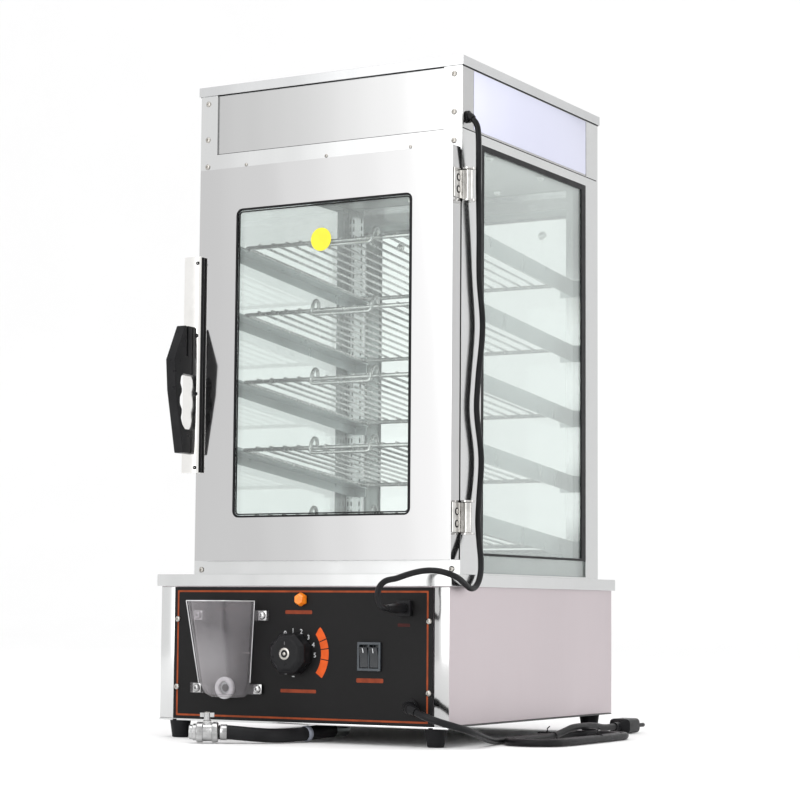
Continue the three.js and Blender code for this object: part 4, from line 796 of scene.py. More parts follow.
@dataclass
class Cords:
    """The lamp's cord, the mains cord with its hank and plug, and the route of the drain hose."""

    lamp_route: Sequence[Point] = (
        (177.4, 12.6, 672.9), (178.9, 12.6, 671.4), (181.1, 12.9, 668.2), (182.4, 13.4, 664.6), (182.9, 14, 660.8),
        (182.9, 15.4, 652), (181, 19.6, 622), (179.8, 21.8, 604),
        (178.2, 27, 550), (177, 30, 500), (177.5, 37, 449), (177, 28, 390), (177, 25, 356), (177, 36, 306),
        (177.5, 30.5, 262), (180, 23.5, 236), (184.2, 18.5, 214), (188.6, 13.6, 197), (191.4, 8.2, 183.4),
        (192.4, 1.6, 172.8), (192.6, -7, 166.4), (192.8, -16.5, 165.2), (193, -26.5, 168), (193.2, -36, 171.8),
        (193.3, -42.6, 174.4), (191.4, -49.8, 177.4), (186.1, -55.1, 180.2), (178.9, -57, 182.2), (171, -58.4, 183.2),
        (163, -62.2, 183), (155.4, -68.6, 181.2), (148.5, -77, 178.2), (142.4, -86, 174.7), (136.4, -98.3, 171.7),
        (133.2, -104, 166.4), (132, -106.2, 159.1), (131.8, -104.3, 151.4), (131.8, -98.8, 145.8),
        (131.8, -91.4, 143.8), (131.8, -87.7, 143.8))
    lead_route: Sequence[Point] = (
        (157.1, -68.2, 36.8), (159, -68.7, 36.1), (161.9, -69.4, 35.1), (170.9, -70.6, 32.1), (179.8, -69.4, 29.2),
        (188.1, -66, 26.4), (195.3, -60.5, 23.8), (200.7, -53.4, 21.2), (204.2, -45, 18.9), (205.4, -36.1, 16.6),
        (204.7, -22.1, 13.4), (202.6, -7.1, 10.3), (199.4, 8.9, 7.6), (196.2, 24.9, 5.4), (192.9, 39.9, 4.2),
        (192.3, 45, 4), (192.3, 54.9, 4))
    hose_route: Sequence[Point] = (
        (8, 9.7, 10.5), (8, -5, 10.5), (8, -14.4, 10.3), (7.5, -24.9, 9.9), (5.8, -35.2, 9.3), (3.1, -45.3, 8.7),
        (-0.6, -55.1, 8.2), (-5.4, -64.4, 7.9), (-11.1, -73.2, 7.8), (-17.7, -81.3, 8.2), (-25.1, -88.7, 8.9),
        (-33.2, -95.3, 9.8), (-42, -101, 10.7), (-48.1, -104.5, 11.3), (-54.1, -108, 11.5), (-59.32, -111, 11.5))
    tail: Sequence[Pair] = ((20, 0), (45, 0), (70, 0.2), (95, 1.8), (117, 5.2), (134, 7.8), (149, 8.6), (165, 8.7),
                            (181, 8.6), (197, 7.8), (214, 5.6), (228, 4.7), (240, 4.7), (249, 4.7))
    middle: Pair = (231.0, 135.5)
    run: float = 145.0
    outer: float = 38.7
    pitch: float = 8.1
    floor: float = 4.0

    def hank(self) -> list[Point]:
        """Two long flat loops beside the base, then the tail that crosses them.

        Returns:
            The points of the stored length.
        """
        points = []
        for half in range(4):
            end = 1 if half % 2 == 0 else -1
            for i in range(1 if half else 0, 12):
                turn = i / 11 * pi
                radius = self.outer - self.pitch * (half + i / 11) / 2
                points.append((self.middle[0] - end * radius * cos(turn),
                               self.middle[1] + end * (self.run / 2 + radius * sin(turn)), self.floor))
        last = points[-1]
        return points + [(last[0], last[1] + along, last[2] + rise) for along, rise in self.tail]

    def build(self) -> None:
        """Makes the plugs, the ties, the lamp's cord and the mains cord."""
        plug = softened("lamp_plug", PLASTIC, 0.5)
        Cord("lamp_cord_line", self.lamp_route, 6.4, "plug", "limp", "hanging", ("lamp_cord",), SHEATH, [plug]).build()
        points = self.hank()
        mains_plug = softened("mains_plug", PLASTIC, 0.8)
        pieces = [mains_plug, *self.ties()]
        Cord("mains_cord_line", [*self.lead_route[:-1], *points], 7.5, "plug", "medium", "loose",
             ("mains_cord_lead", "mains_cord_hank"), SHEATH, pieces).build()

    def ties(self) -> list[Model]:
        """Twist ties that hold the hank's strands together.

        Returns:
            The ties.
        """
        made = []
        for name, low, high in (("left", 188.4, 213.2), ("right", 249.0, 268.7)):
            points = upright(rounded((low, high), (0.75, 8.6), 3.8, 5), 150.0)
            knot = [spot(low + 12.0, 150.0, 9.0), spot(low + 13.5, 149.0, 11.0), spot(low + 12.5, 151.0, 13.0),
                    spot(low + 15.0, 152.0, 15.5)]
            shape = Shape().wire([*points, points[0]], 0.7, 2).wire(knot, 0.7, 2)
            made.append(shape.piece(f"{name}_cord_tie", PLASTIC))
        return made


@dataclass
class Cabinet:
    """Frame, head, lid, ceiling and glazing, with their screws, nuts and seals, black strips that paint the shade in
    the gaps along the head and under the lid's skirt, and dark patches that paint the shade inside the upright's slot
    rows.
    """

    half: float = 171.0
    film: tuple[Pair, Pair] = ((26.5, 315.2), (665.0, 729.8))
    rear_screws: tuple[float, ...] = (722.0, 690.0, 652.0, 420.0, 190.0)
    post_screws: tuple[float, ...] = (722.4, 680.4, 648.8, 186.0)
    header_screws: tuple[float, ...] = (-108.0, -1.0, 107.0)
    side_opening: tuple[Pair, Pair] = ((46.0, 316.0), (201.3, 651.6))
    rear_opening: tuple[Pair, Pair] = ((-134.0, 134.0), (212.3, 624.0))
    seal: tuple[Pair, Pair] = ((7.0, 11.0), (2.6, 6.2))  # front and rear, then bottom and top
    rear_seal: float = 4.0
    slot_rows: tuple[float, ...] = (-161.5, -156.5, -145.0)
    slot_face: float = 322.0
    slot_levels: tuple[float, ...] = tuple(202.0 + 10.0 * i for i in range(44))
    dome: tuple[Pair, ...] = ((0.0, 0.0), (0.0, 5.6), (1.4, 5.6), (1.6, 4.6), (3.4, 4.4), (4.8, 3.2), (5.6, 1.6),
                              (5.8, 0.0))
    ceiling: float = 651.9
    pane: float = 168.75
    rear_pane: Pair = (344.4, 348.3)
    ceiling_nuts: tuple[Pair, ...] = ((-148.0, 110.0), (148.0, 110.0), (-148.0, 240.0), (148.0, 240.0),
                                      (-60.0, 300.0), (60.0, 300.0))
    rear_nuts: tuple[Pair, ...] = ((-100.0, 600.0), (100.0, 600.0), (-100.0, 232.0), (100.0, 232.0))

    def build(self) -> None:
        """Makes the cabinet."""
        softened("cabinet_frame", BODY_STEEL, 0.35)
        softened("top_lid", LID_STEEL, 0.35)
        softened("head_shell", HEAD_STEEL, 0.3)
        softened("ceiling_panel", CEILING_STEEL, 0.3)
        softened("ceiling_lamp", OPAL, 0.8, 3)
        softened("right_glass", SIDE_PANE, 0.35)
        for node in ("left_glass", "rear_glass"):
            softened(node, PANE, 0.35)
        self.films()
        self.screws()
        self.seals()
        self.slots()
        self.ceiling_parts()

    def outside(self, side: int, near: float, far: float) -> list[float]:
        """Span across between two distances outside one of the cabinet's sides."""
        return sorted((side * (self.half + near), side * (self.half + far)))

    def films(self) -> None:
        """Lays the pale sheets on the head's sides."""
        (y0, y1), (z0, z1) = self.film
        for side, name in SIDES:
            low, high = self.outside(side, 0.0, 0.35)
            Shape().block((low, y0, z0), (high, y1, z1), 0.1).piece(f"{name}_head_sheet", HEAD_FILM)

    def screws(self) -> None:
        """Drives the screws of the posts, front and rear, and of the header."""
        shape = Shape()
        for side, _ in SIDES:
            for z in self.post_screws:
                shape.screw(side * 161.0, 0.0, z, Way.FORWARD, 3.3, 1.6)
            for z in self.rear_screws:
                shape.screw(side * 160.0, 350.0, z, Way.BACK, 3.0, 1.4)
        for x in self.header_screws:
            shape.screw(x, 0.0, 647.0, Way.FORWARD, 2.1, 0.9)
        shape.piece("cabinet_screws", BRASS_SCREW)

    def seals(self) -> None:
        """Fits the black beads round the panes, and thin black strips that paint the shade in the gaps between the
        head's sheets and under the lid's skirt.
        """
        (y0, y1), (z0, z1) = self.side_opening
        (front, rear), (bottom, top) = self.seal
        outlines = (rounded(*self.side_opening, 1.0, 2, 0.1),
                    rounded((y0 + front, y1 - rear), (z0 + bottom, z1 - top), 1.0, 2))
        for side, name in SIDES:
            loops = [[spot(side * self.pane, y, z) for y, z in outline] for outline in outlines]
            Shape().ring(*loops, Way.RIGHT.by(side * 1.9)).piece(f"{name}_glass_seal", BLACK_SEAL_AND_SHADE)
            low, high = self.outside(side, 0.0, 0.25)
            # thin black strips painting the shade in the gaps along the head's sides, at its rear edge and under the
            # lid's skirt
            gap_shade = Shape().block((low, 0.5, 661.8), (high, 346.0, 662.8), 0.05)
            gap_shade.block((low, 315.6, 664.0), (high, 316.6, 729.8), 0.05)
            low, high = self.outside(side, 0.1, 0.7)
            gap_shade.block((low, 0.0, 730.7), (high, 351.0, 731.3), 0.1).piece(f"{name}_seam_shade", BLACK_SEAL_AND_SHADE)
        loops = [upright(rounded(*self.rear_opening, 1.0, 2, inset), self.rear_pane[1])
                 for inset in (0.1, self.rear_seal)]
        Shape().ring(*loops, Way.BACK.by(1.4)).piece("rear_glass_seal", BLACK_SEAL_AND_SHADE)
        # a thin black strip painting the shade in the gap at the head's front
        Shape().block((-148.3, 1.9, 662.0), (148.3, 2.5, 663.0), 0.05).piece("front_seam_shade", BLACK_SEAL_AND_SHADE)

    def slots(self) -> None:
        """Paints the shade inside the slot rows of the left rear upright as thin dark patches."""
        shape, y = Shape(), self.slot_face
        for x in self.slot_rows:
            for z in self.slot_levels:
                # each dark patch paints the shade inside one slot
                shape.block((x - 0.9, y - 0.08, z), (x + 0.9, y + 0.1, z + 5.6))
        shape.piece("upright_slot_shade", BLACK_SEAL_AND_SHADE)

    def ceiling_parts(self) -> None:
        """Fits the dome nuts on the ceiling and rear panes, and the ring round the lamp."""
        shape = Shape()
        for x, y in self.ceiling_nuts:
            shape.turned(spot(x, y, self.ceiling), Way.DOWN.value, self.dome, 20)
        for x, z in self.rear_nuts:
            shape.turned(spot(x, self.rear_pane[0], z), Way.FORWARD.value, self.dome, 20)
        shape.piece("dome_nuts", CHROME)
        ring = ((0.0, 31.0), (0.0, 39.0), (1.2, 38.6), (2.0, 36.0), (1.6, 31.4), (0.0, 31.0))
        Shape().turned(spot(0.0, 175.0, self.ceiling), Way.DOWN.value, ring, 48).piece("lamp_ring", CHROME)


@dataclass
class Door:
    """Glazed front door with its handle, hinges, seal and sticker."""

    window: tuple[Pair, Pair] = ((-106.5, 121.5), (243.3, 592.2))
    corner: float = 7.5
    sticker: tuple[float, float, float] = (4.8, 549.6, 13.0)
    pane: float = -18.6
    beads: tuple[tuple[str, Pair, float, float], ...] = (  # insets, depth of the face and thickness
        ("outer", (0.2, 2.2), -20.9, 2.2), ("inner", (3.0, 4.4), -18.6, -0.6))
    bar_right: float = -149.0
    bar_span: Pair = (294.0, 540.0)
    grip_sides: Pair = (-170.0, -157.5)
    # depth and height of the grip's corners: outside, then the slit's and the finger opening's
    grip_bow: tuple[Pair, ...] = ((-30.3, 316.0), (-45.0, 316.0), (-61.0, 386.0), (-64.0, 420.0), (-44.0, 460.0),
                                  (-41.0, 460.0), (-41.0, 425.0), (-38.0, 425.0), (-38.0, 460.0), (-30.3, 460.0))
    grip_opening: tuple[Pair, ...] = ((-30.3, 405.0), (-46.0, 405.0), (-50.5, 401.0), (-51.5, 394.0), (-48.5, 388.0),
                                      (-48.5, 384.0), (-52.0, 378.0), (-52.0, 371.0), (-48.0, 365.0), (-48.0, 361.0),
                                      (-49.5, 355.0), (-46.5, 348.0), (-41.0, 343.0), (-30.3, 343.0))
    handle_screws: tuple[float, ...] = (532.4, 449.5, 383.5, 300.0)
    hinge_levels: tuple[float, ...] = (599.5, 240.5)

    def build(self) -> None:
        """Makes the door."""
        softened("door_frame", DOOR_STEEL, 0.5, 3)
        softened("door_glass", PANE, 0.3)
        softened("door_gasket", RUBBER, 0.7)
        softened("handle_bar", CHROME, 0.5, 3)
        self.grip()
        for level in ("upper", "lower"):
            softened(f"{level}_hinge_leaf", HINGE_PLATE, 0.35)
            softened(f"{level}_hinge_bracket", HINGE_PLATE, 0.4)
        self.bead()
        self.fastenings()
        self.label()

    def grip(self) -> None:
        """Makes the bow grip, open to the bar behind its finger recesses and slit at its top."""
        left, right = self.grip_sides
        corners = [spot(left, y, z) for y, z in (*self.grip_bow, *self.grip_opening)]
        shape = Shape().plate(corners, Way.RIGHT.by(right - left))
        shape.soften([e for e in shape.mesh.edges if e.calc_face_angle(0.0) > radians(20.0)], 1.1, 3)
        evened(shape.piece("bow_grip", PLASTIC, "door", ("handle_grip",), SHELL_SHADE))

    def bead(self) -> None:
        """Fits the double black bead round the window."""
        for name, insets, y, depth in self.beads:
            loops = [upright(rounded(*self.window, self.corner - inset, 6, inset), y) for inset in insets]
            Shape().ring(*loops, Way.BACK.by(depth)).piece(f"window_bead_{name}", BLACK_SEAL_AND_SHADE, "door")

    def fastenings(self) -> None:
        """Adds a dark strip that paints the shade on the handle bar's right side, the handle's screws, and the screws,
        rings and end caps of the hinges.
        """
        right, (low, high) = self.bar_right, self.bar_span
        # painted shade: a thin black sheet laid on the bar's right side face, which falls in shade
        strip = Shape().block((right + 0.1, -25.6, low + 0.6), (right + 0.9, -21.5, high - 0.6), 0.25)
        strip.piece("handle_side_shade", BLACK_SEAL_AND_SHADE, "door")
        dark = Shape()
        for z in self.handle_screws:
            dark.screw(right - 3.4, -29.2, z, Way.FORWARD, 2.3, 1.2)
        dark.piece("handle_screws", PLASTIC, "door")
        bright, rings = Shape(), Shape()
        for level in self.hinge_levels:
            for rise in (-7.0, 6.0):
                rings.turned(spot(172.8, -11.0, level + rise), Way.RIGHT.value,
                             ((0.0, 0.0), (0.0, 4.2), (0.25, 4.2), (0.35, 4.0), (0.35, 0.0)), 24)
                bright.screw(173.1, -11.0, level + rise, Way.RIGHT, 2.9, 1.0)
            for way, rise in ((Way.UP, 16.0), (Way.DOWN, -16.0)):
                rings.turned(spot(177.0, 4.0, level + rise), way.value,
                             ((0.0, 0.0), (0.0, 4.3), (0.5, 4.3), (0.6, 4.0), (0.6, 0.0)), 24)
        bright.piece("hinge_screws", BRASS_SCREW, "door")
        rings.piece("hinge_screw_rings", BLACK_SEAL_AND_SHADE, "door")

    def label(self) -> None:
        """Sticks the plain round label on the pane."""
        x, z, radius = self.sticker
        outline = upright(arc((x, z), radius, 0.0, 352.5, 47), self.pane)
        Shape().plate(outline, Way.FORWARD.by(0.25)).piece("round_sticker", YELLOW, "door")


@dataclass
class Shelving:
    """Five wire racks with their handles, on sheet rails."""

    levels: int = 5
    top: float = 546.0
    pitch: float = 78.3
    slope: float = 5.6
    front: float = 48.0
    rear: float = 316.2
    half: float = 138.0
    wires: int = 14
    rod: float = 2.5
    wire: float = 1.5
    rise: float = 2.7
    handle_half: float = 39.0
    handle_rod: float = 2.1
    handle: tuple[Pair, ...] = ((1.5, 2.2), (0.0, 10.2), (-7.0, 11.0), (-12.6, 3.5), (-14.7, -6.7))

    def height(self, level: int, depth: float) -> float:
        """Height of a rack's frame rods at a depth."""
        middle = (self.front + self.rear) / 2
        return self.top - level * self.pitch - (depth - middle) * tan(radians(self.slope))

    def build(self) -> None:
        """Makes the racks and their rails."""
        for level in range(self.levels):
            self.rack(level)
            for side in ("left", "right"):
                softened(f"{side}_rail_{level + 1}", INNER_STEEL, 0.3)

    def rack(self, level: int) -> None:
        """Makes one rack: a frame of rods with round corners, wires over it and a handle at the front.

        Args:
            level: its place from the top, from 0.
        """
        def at(x: float, y: float, rise: float = 0.0) -> Vector:
            """Point on the rack's slope."""
            return spot(x, y, self.height(level, y) + rise)

        loop = [at(x, y) for x, y in rounded((-self.half, self.half), (self.front, self.rear), 3.0, 5)]
        shape = Shape().wire([*loop, loop[0]], self.rod, 4)
        for i in range(self.wires):
            x = -self.half + (i + 1) * 2 * self.half / (self.wires + 1)
            ends = [at(x, y, self.rise) for y in (self.front - self.wire, self.rear + self.wire)]
            shape.wire([ends[0], *(ends[0].lerp(ends[1], share) for share in (0.01, 0.5, 0.99)), ends[1]], self.wire, 3,
                       [0.72, 1.0, 1.0, 1.0, 0.72])
        root = self.height(level, self.front)
        bends = [spot(-self.handle_half, self.front + y, root + z) for y, z in self.handle]
        far = [spot(self.handle_half, self.front + y, root + z) for y, z in reversed(self.handle)]
        shape.wire(eased([*bends, *far], 5), self.handle_rod, 3)
        shape.piece(f"rack_{level + 1}_wirework", WIRE, f"shelf_{level + 1}", (f"rack_{level + 1}",), 60.0)


def eased(points: Sequence[Vector], steps: int) -> list[Vector]:
    """Rounds the bends of a bent wire.

    Args:
        points: its bends in metres.
        steps: points in each rounded bend.

    Returns:
        The middle line with short arcs in place of the corners.
    """
    line = [points[0]]
    for before, corner, after in zip(points, points[1:], points[2:]):
        reach = min((corner - before).length, (after - corner).length, BEND) * BEND_SHARE
        start, end = corner + (before - corner).normalized() * reach, corner + (after - corner).normalized() * reach
        for i in range(steps + 1):
            share = i / steps
            line.append(start.lerp(corner, share).lerp(corner.lerp(end, share), share))
    return [*line, points[-1]]


@dataclass
class Base:
    """Lower housing, its plates, strips, screws and feet, the tank and the element."""

    strip: Pair = (164.4, 182.9)
    screw_levels: Pair = (40.0, 150.0)

    def build(self) -> None:
        """Makes the base."""
        softened("base_housing", BASE_STEEL, 0.4, 3)
        softened("base_top_plate", BODY_STEEL, 0.5, 3)
        # painted shade: the bottom plate is darkened to stand for the shade under the base
        softened("base_bottom_plate", UNDER_SHADE_STEEL, 0.3)
        Shape().block((-183.0, -46.4, 18.9), (183.0, -44.6, 21.1), 0.2).piece("base_front_lip", BODY_STEEL)
        softened("water_tank", INNER_STEEL, 0.3)
        softened("heating_element", WIRE, 0.3, 2, 50.0)
        for place in ("front_left", "front_right", "rear_left", "rear_right"):
            softened(f"foot_{place}", RUBBER, 0.8)
        # painted light and shade: two copies of one corner strip, the left one in the lighter body steel and the right
        # one in the darker head steel
        for (side, name), finish in zip(SIDES, (BODY_STEEL, HEAD_STEEL)):
            low, high = sorted(side * edge for edge in self.strip)
            Shape().block((low, -45.25, 21.2), (high, -44.95, 166.4), 0.1).piece(f"{name}_corner_strip", finish)
        shape = Shape()
        for side, _ in SIDES:
            for z in self.screw_levels:
                shape.screw(side * 150.0, 362.7, z, Way.BACK, 3.0, 1.4)
        shape.piece("base_screws", BRASS_SCREW)


@dataclass
class ControlPanel:
    """Black front panel with its print, knob, switch, lamp, filler box and cord fittings."""

    face: float = -46.8
    border: tuple[Pair, Pair] = ((-160.0, 159.0), (24.3, 162.3))
    border_width: float = 2.0
    ink: float = 0.12  # thickness of the print
    bars: tuple[tuple[Pair, Pair], ...] = (((-18.0, 16.0), (137.0, 141.0)), ((-23.0, 22.0), (52.6, 56.3)),
                                           ((72.0, 105.0), (65.2, 69.8)))
    red_bars: tuple[tuple[Pair, Pair], ...] = (((122.0, 137.0), (124.5, 128.0)), ((-108.8, -75.8), (141.2, 142.8)))
    screws: tuple[Pair, ...] = ((-159.6, 130.5), (-159.6, 55.8), (159.6, 130.5), (159.6, 55.8))
    knob: Pair = (-6.0, 94.5)
    knob_front: float = -67.0
    dial: tuple[float, float, float, float] = (33.9, 43.4, 42.0, -37.0)
    dividers: tuple[float, ...] = (22.0, 8.0, -9.0)
    numbers: tuple[Point, ...] = ((-18, 116, 0), (-8, 119, 1), (2.6, 118, 2), (11.6, 112, 3), (18, 104, 4), (20, 93, 5))
    ticks: tuple[Pair, ...] = ((-16.6, 72.8), (-7.0, 70.0))
    mains_gland: Pair = (140.0, 41.0)
    relief_face: float = -47.1
    relief_straight: float = 5.3
    relief_bend: float = 14.5
    relief_turn: float = 75.0
    digit_size: float = 7.2
    rocker_marks: tuple[tuple[str, float], ...] = (("left", 82.3), ("right", 94.5))
    rocker_slope: tuple[Pair, Pair] = ((-50.45, 96.6), (-51.94, 101.4))  # depth and height along the upper faces
    filler_screws: tuple[Pair, ...] = ((-45.3, 135.0), (-129.6, 135.0), (-130.2, 55.3), (-50.5, 55.4))
    filler_edges: tuple[tuple[Point, ...], ...] = (
        ((-110.3, -75.7, 62.0), (-114.4, -95.7, 150.6)), ((-121.7, -47.8, 150.6), (-114.4, -95.7, 150.6)),
        ((-114.4, -95.7, 150.6), (-64.8, -95.7, 150.6)), ((-64.8, -95.7, 150.6), (-57.5, -47.8, 150.6)),
        ((-57.5, -47.8, 150.6), (-62.0, -47.8, 62.0)))

    def build(self) -> None:
        """Makes the panel and everything on it."""
        softened("control_panel", PANEL_BLACK, 0.25)
        self.panel_print()
        self.dial_print()
        self.knob_parts()
        self.switch()
        self.filler()
        self.fittings()

    def patch(self, shape: Shape, across: Pair, up: Pair) -> None:
        """Adds a printed bar to a shape."""
        outline = rounded(across, up, min(up[1] - up[0], across[1] - across[0]) * 0.25, 3)
        shape.plate(upright(outline, self.face + 0.02), Way.FORWARD.by(self.ink))

    def panel_print(self) -> None:
        """Prints the border, the plain bars and the red bars, and drives the panel's screws."""
        loops = [upright(rounded(*self.border, 0.8, 2, inset), self.face + 0.02) for inset in (0.0, self.border_width)]
        Shape().ring(*loops, Way.FORWARD.by(self.ink)).piece("orange_border", BORDER)
        for name, bars, finish in (("caption_bars", self.bars, CAPTION), ("red_bars", self.red_bars, DIM_RED)):
            marks = Shape()
            for across, up in bars:
                self.patch(marks, across, up)
            marks.piece(name, finish)
        screws = Shape()
        for x, z in self.screws:
            screws.screw(x, self.face, z, Way.FORWARD, 3.3, 1.6)
        screws.piece("panel_screws", BRASS_SCREW)

    def dial_print(self) -> None:
        """Prints the dial's arc with its dividers, its numbers and ticks."""
        inner, outer, start, end = self.dial
        shape = Shape()
        edges = [start, *self.dividers, end]
        for first, last in zip(edges, edges[1:]):
            first, last = first - 0.8, last + 0.8
            steps = max(3, round((first - last) / 4))
            far = arc(self.knob, outer, first, last, steps)
            near = arc(self.knob, inner, last, first, steps)
            if first > 40.0:
                near[-1] = arc(self.knob, inner + (outer - inner) * 0.7, first, first, 1)[0]
            shape.plate(upright((*far, *near), self.face + 0.02), Way.FORWARD.by(self.ink))
        shape.piece("dial_arc", ORANGE)
        marks = Shape()
        for x, z in self.ticks:
            self.patch(marks, (x - 1.6, x + 1.6), (z - 0.5, z + 0.5))
        for x, z, value in self.numbers:
            self.digit(marks, int(value), x, z)
        marks.piece("dial_numbers", WHITE)

    def digit(self, shape: Shape, value: int, x: float, z: float) -> None:
        """Adds a printed number.

        Args:
            shape: the print that gets it.
            value: the number.
            x: its middle across.
            z: its middle height.
        """
        text = bpy.data.curves.new("digit", "FONT")
        text.body, text.size, text.extrude = str(value), self.digit_size * MM, self.ink / 2 * MM
        text.align_x, text.align_y = "CENTER", "CENTER"
        shape.traced(text, Matrix.Translation(spot(x, self.face - 0.04, z)) @ Matrix.Rotation(pi / 2, 4, "X"))

    def knob_parts(self) -> None:
        """Makes the knob with its bright cap and pointer, and the body behind the panel."""
        softened("thermostat_knob", PLASTIC, 1.1, 3)
        softened("thermostat_body", PLASTIC, 0.8)
        x, z = self.knob
        cap, seat = Shape(), spot(x, self.knob_front + 0.1, z)
        cap.turned(seat, Way.FORWARD.value,
                   ((0.0, 4.0), (0.0, 6.4), (0.5, 6.4), (0.9, 5.6), (0.7, 4.2), (0.0, 4.0)), 32)
        cap.turned(seat, Way.FORWARD.value, ((0.0, 0.0), (0.0, 1.7), (0.6, 1.7), (0.9, 1.0), (0.9, 0.0)), 20)
        cap.piece("knob_cap", BRASS_SCREW, "knob")
        line = Shape()
        line.block((x - 0.5, self.knob_front - 0.12, z + 9.5), (x + 0.5, self.knob_front + 0.3, z + 13.0), 0.1)
        line.piece("knob_pointer", TRIM, "knob")

    def switch(self) -> None:
        """Makes the twin rocker with its marks, and the lamp over the dial."""
        softened("rocker_housing", ROCKER_PLASTIC, 0.7, 3)
        softened("rocker_left", ROCKER_DARK, 0.7, 3)
        softened("rocker_right", ROCKER_DARK, 0.7, 3)
        softened("indicator_lamp", AMBER, 0.7, 3)
        (deep, low), (proud, high) = self.rocker_slope
        for name, x in self.rocker_marks:
            corners = [spot(x - 0.5, deep, low), spot(x + 0.5, deep, low), spot(x + 0.5, proud, high),
                       spot(x - 0.5, proud, high)]
            Shape().plate(corners, Way.FORWARD.by(0.25)).piece(f"{name}_rocker_mark", WHITE, f"{name}_rocker")

    def filler(self) -> None:
        """Makes the clear filler box, its inlet nut, screws and level mark, and pale lines along its edges that paint
        their highlights.
        """
        softened("filler_hopper", CLEAR_BOX, 0.7, 3, 24.0)
        nut = ((0.0, 7.2), (0.0, 12.0), (3.6, 12.0), (4.6, 11.0), (4.6, 8.6), (3.9, 7.2), (0.0, 7.2))
        Shape().turned(spot(-92.0, -50.0, 56.0), Way.FORWARD.value, nut, 32).piece("inlet_nut", INLET_WHITE)
        fix = Shape()
        for x, z in self.filler_screws:
            fix.block((x - 5.2, -50.5, z - 5.2), (x + 5.2, -49.7, z + 5.2), 0.3)
            fix.screw(x, -50.5, z, Way.FORWARD, 4.4, 3.2)
        fix.piece("filler_screws", NICKEL)
        Shape().block((-72.0, -48.3, 93.7), (-62.5, -47.5, 94.7), 0.1).piece("level_mark", BRASS_SCREW)
        # pale lines along the box's edges: painted highlights
        edges = Shape()
        for line in self.filler_edges:
            edges.wire([spot(*point) for point in line], 0.5, 2)
        edges.piece("filler_edges", EDGE_HIGHLIGHT)

    def fittings(self) -> None:
        """Makes the lamp socket and both strain reliefs, with grip rings on the mains one."""
        softened("lamp_socket", PLASTIC, 0.6, 3)
        softened("lamp_gland", PLASTIC, 0.4)
        softened("mains_gland", PLASTIC, 0.4, 2, 40.0)
        x, z = self.mains_gland
        rings = Shape()
        for share in (0.2, 0.4, 0.6, 0.8):
            turn = radians(self.relief_turn * share)
            middle = spot(x + self.relief_bend * (1 - cos(turn)),
                          self.relief_face - self.relief_straight - self.relief_bend * sin(turn),
                          z - 1.8 * share * share)
            along = Vector((sin(turn), -cos(turn), -0.1)).normalized()
            radius = 6.4 - 1.8 * (share * 5 + 1) / 7 + 0.5
            rings.turned(middle - along * 0.9 * MM, along,
                         ((0.0, radius - 1.2), (0.0, radius - 0.3), (0.6, radius), (1.2, radius), (1.8, radius - 0.3),
                          (1.8, radius - 1.2), (0.0, radius - 1.2)), 24)
        rings.piece("relief_rings", PLASTIC)


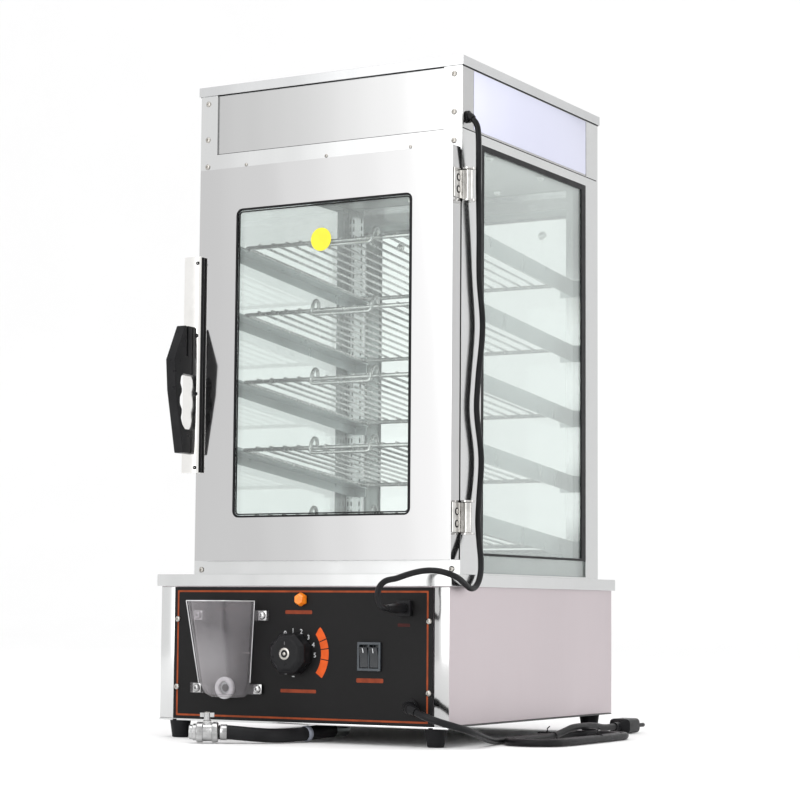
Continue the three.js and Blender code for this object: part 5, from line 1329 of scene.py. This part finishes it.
@dataclass
class Drain:
    """Drain hose with its clamp and clip, and the turning valve on its end."""

    mouth: Point = (-59.32, -111.0, 11.5)
    turn: float = 30.0
    bonnet_at: float = 12.3
    profile: tuple[Pair, ...] = (
        (0.0, 0.0), (0.0, 9.6), (0.8, 10.6), (2.4, 10.9), (6.0, 10.9), (6.4, 9.8), (8.0, 9.6), (16.0, 9.6),
        (16.5, 10.9), (22.2, 10.9), (23.0, 10.0), (23.4, 8.9), (26.4, 8.9), (27.0, 8.3), (27.4, 7.7), (30.4, 7.7),
        (31.0, 7.1), (31.0, 4.9), (30.4, 4.3), (18.0, 4.2), (17.6, 0.0))
    spigot: tuple[Pair, ...] = ((0.0, 0.0), (0.0, 4.1), (0.6, 4.6), (11.0, 4.6), (11.0, 0.0))
    bonnet: tuple[Pair, ...] = ((4.0, 0.0), (4.0, 6.4), (9.6, 6.4), (10.0, 5.1), (12.0, 5.1), (12.4, 4.6), (12.4, 0.0))

    def axis(self) -> Vector:
        """The way the valve points."""
        return Vector((-cos(radians(self.turn)), -sin(radians(self.turn)), 0.0))

    def build(self, cords: Cords) -> None:
        """Makes the hose and the valve.

        Args:
            cords: where the hose's route is kept.
        """
        along = self.axis()
        start = spot(*self.mouth) + along * 0.3 * MM
        body = Shape()
        body.turned(start, along, self.profile, 36).turned(start - along * 9.8 * MM, along, self.spigot, 24)
        seat = start + along * (self.bonnet_at - 0.3) * MM
        body.turned(seat, Way.UP.value, self.bonnet, 6)
        valve = body.piece("drain_valve_body", NICKEL, "case", ("drain_valve",), 30.0)
        valve.modifiers.new("soft_edges", "BEVEL").width = 0.25 * MM
        lever = softened("drain_lever", NICKEL, 0.4, 3)
        cap = ((-0.4, 0.0), (-0.4, 3.2), (0.4, 3.2), (0.9, 2.6), (0.9, 0.0))
        nut = Shape().turned(seat + Way.UP.by(20.5), Way.UP.value, cap, 6).piece("lever_nut", BRASS_SCREW, "lever")
        pieces = [valve, lever, nut, self.clamp(cords), self.clip(cords)]
        Cord("drain_hose_line", cords.hose_route, 15.0, "fitting", "stiff", "loose", ("drain_hose",), HOSE,
             pieces).build()

    def clamp(self, cords: Cords) -> Model:
        """Worm clamp round the hose's end.

        Args:
            cords: where the hose's route is kept.

        Returns:
            The clamp.
        """
        end, before = spot(*cords.hose_route[-1]), spot(*cords.hose_route[-3])
        along = (before - end).normalized()
        shape = Shape()
        shape.turned(end + along * 2.0 * MM, along,
                     ((0.0, 7.4), (0.0, 8.1), (0.4, 8.3), (6.6, 8.3), (7.0, 8.1), (7.0, 7.4), (0.0, 7.4)), 32)
        across = along.cross(Vector((0.0, 0.0, 1.0))).normalized()
        worm = end + along * 5.5 * MM - across * 8.6 * MM
        shape.turned(worm - Way.UP.by(6.0), Way.UP.value,
                     ((0.0, 0.0), (0.0, 2.6), (2.0, 2.6), (2.2, 2.1), (9.0, 2.1), (9.0, 0.0)), 12)
        return shape.piece("hose_clamp", NICKEL)

    def clip(self, cords: Cords) -> Model:
        """Pale clip round the hose near the front of the base.

        Args:
            cords: where the hose's route is kept.

        Returns:
            The clip.
        """
        middle = spot(*cords.hose_route[4])
        along = (spot(*cords.hose_route[5]) - spot(*cords.hose_route[3])).normalized()
        shape = Shape()
        shape.turned(middle, along, ((0.0, 7.4), (0.0, 8.1), (0.5, 8.4), (5.5, 8.4), (6.0, 8.1), (6.0, 7.4),
                                     (0.0, 7.4)), 28)
        return shape.piece("hose_clip", GREY_NYLON)


def main() -> None:
    """Builds the scene: stage first, then the cords and every sub-assembly."""
    logging.basicConfig(level=logging.INFO, format="%(message)s")
    Studio().build()
    cords = Cords()
    cords.build()
    Drain().build(cords)
    for part in (Cabinet(), Door(), Shelving(), Base(), ControlPanel()):
        part.build()


if __name__ == "__main__":
    main()
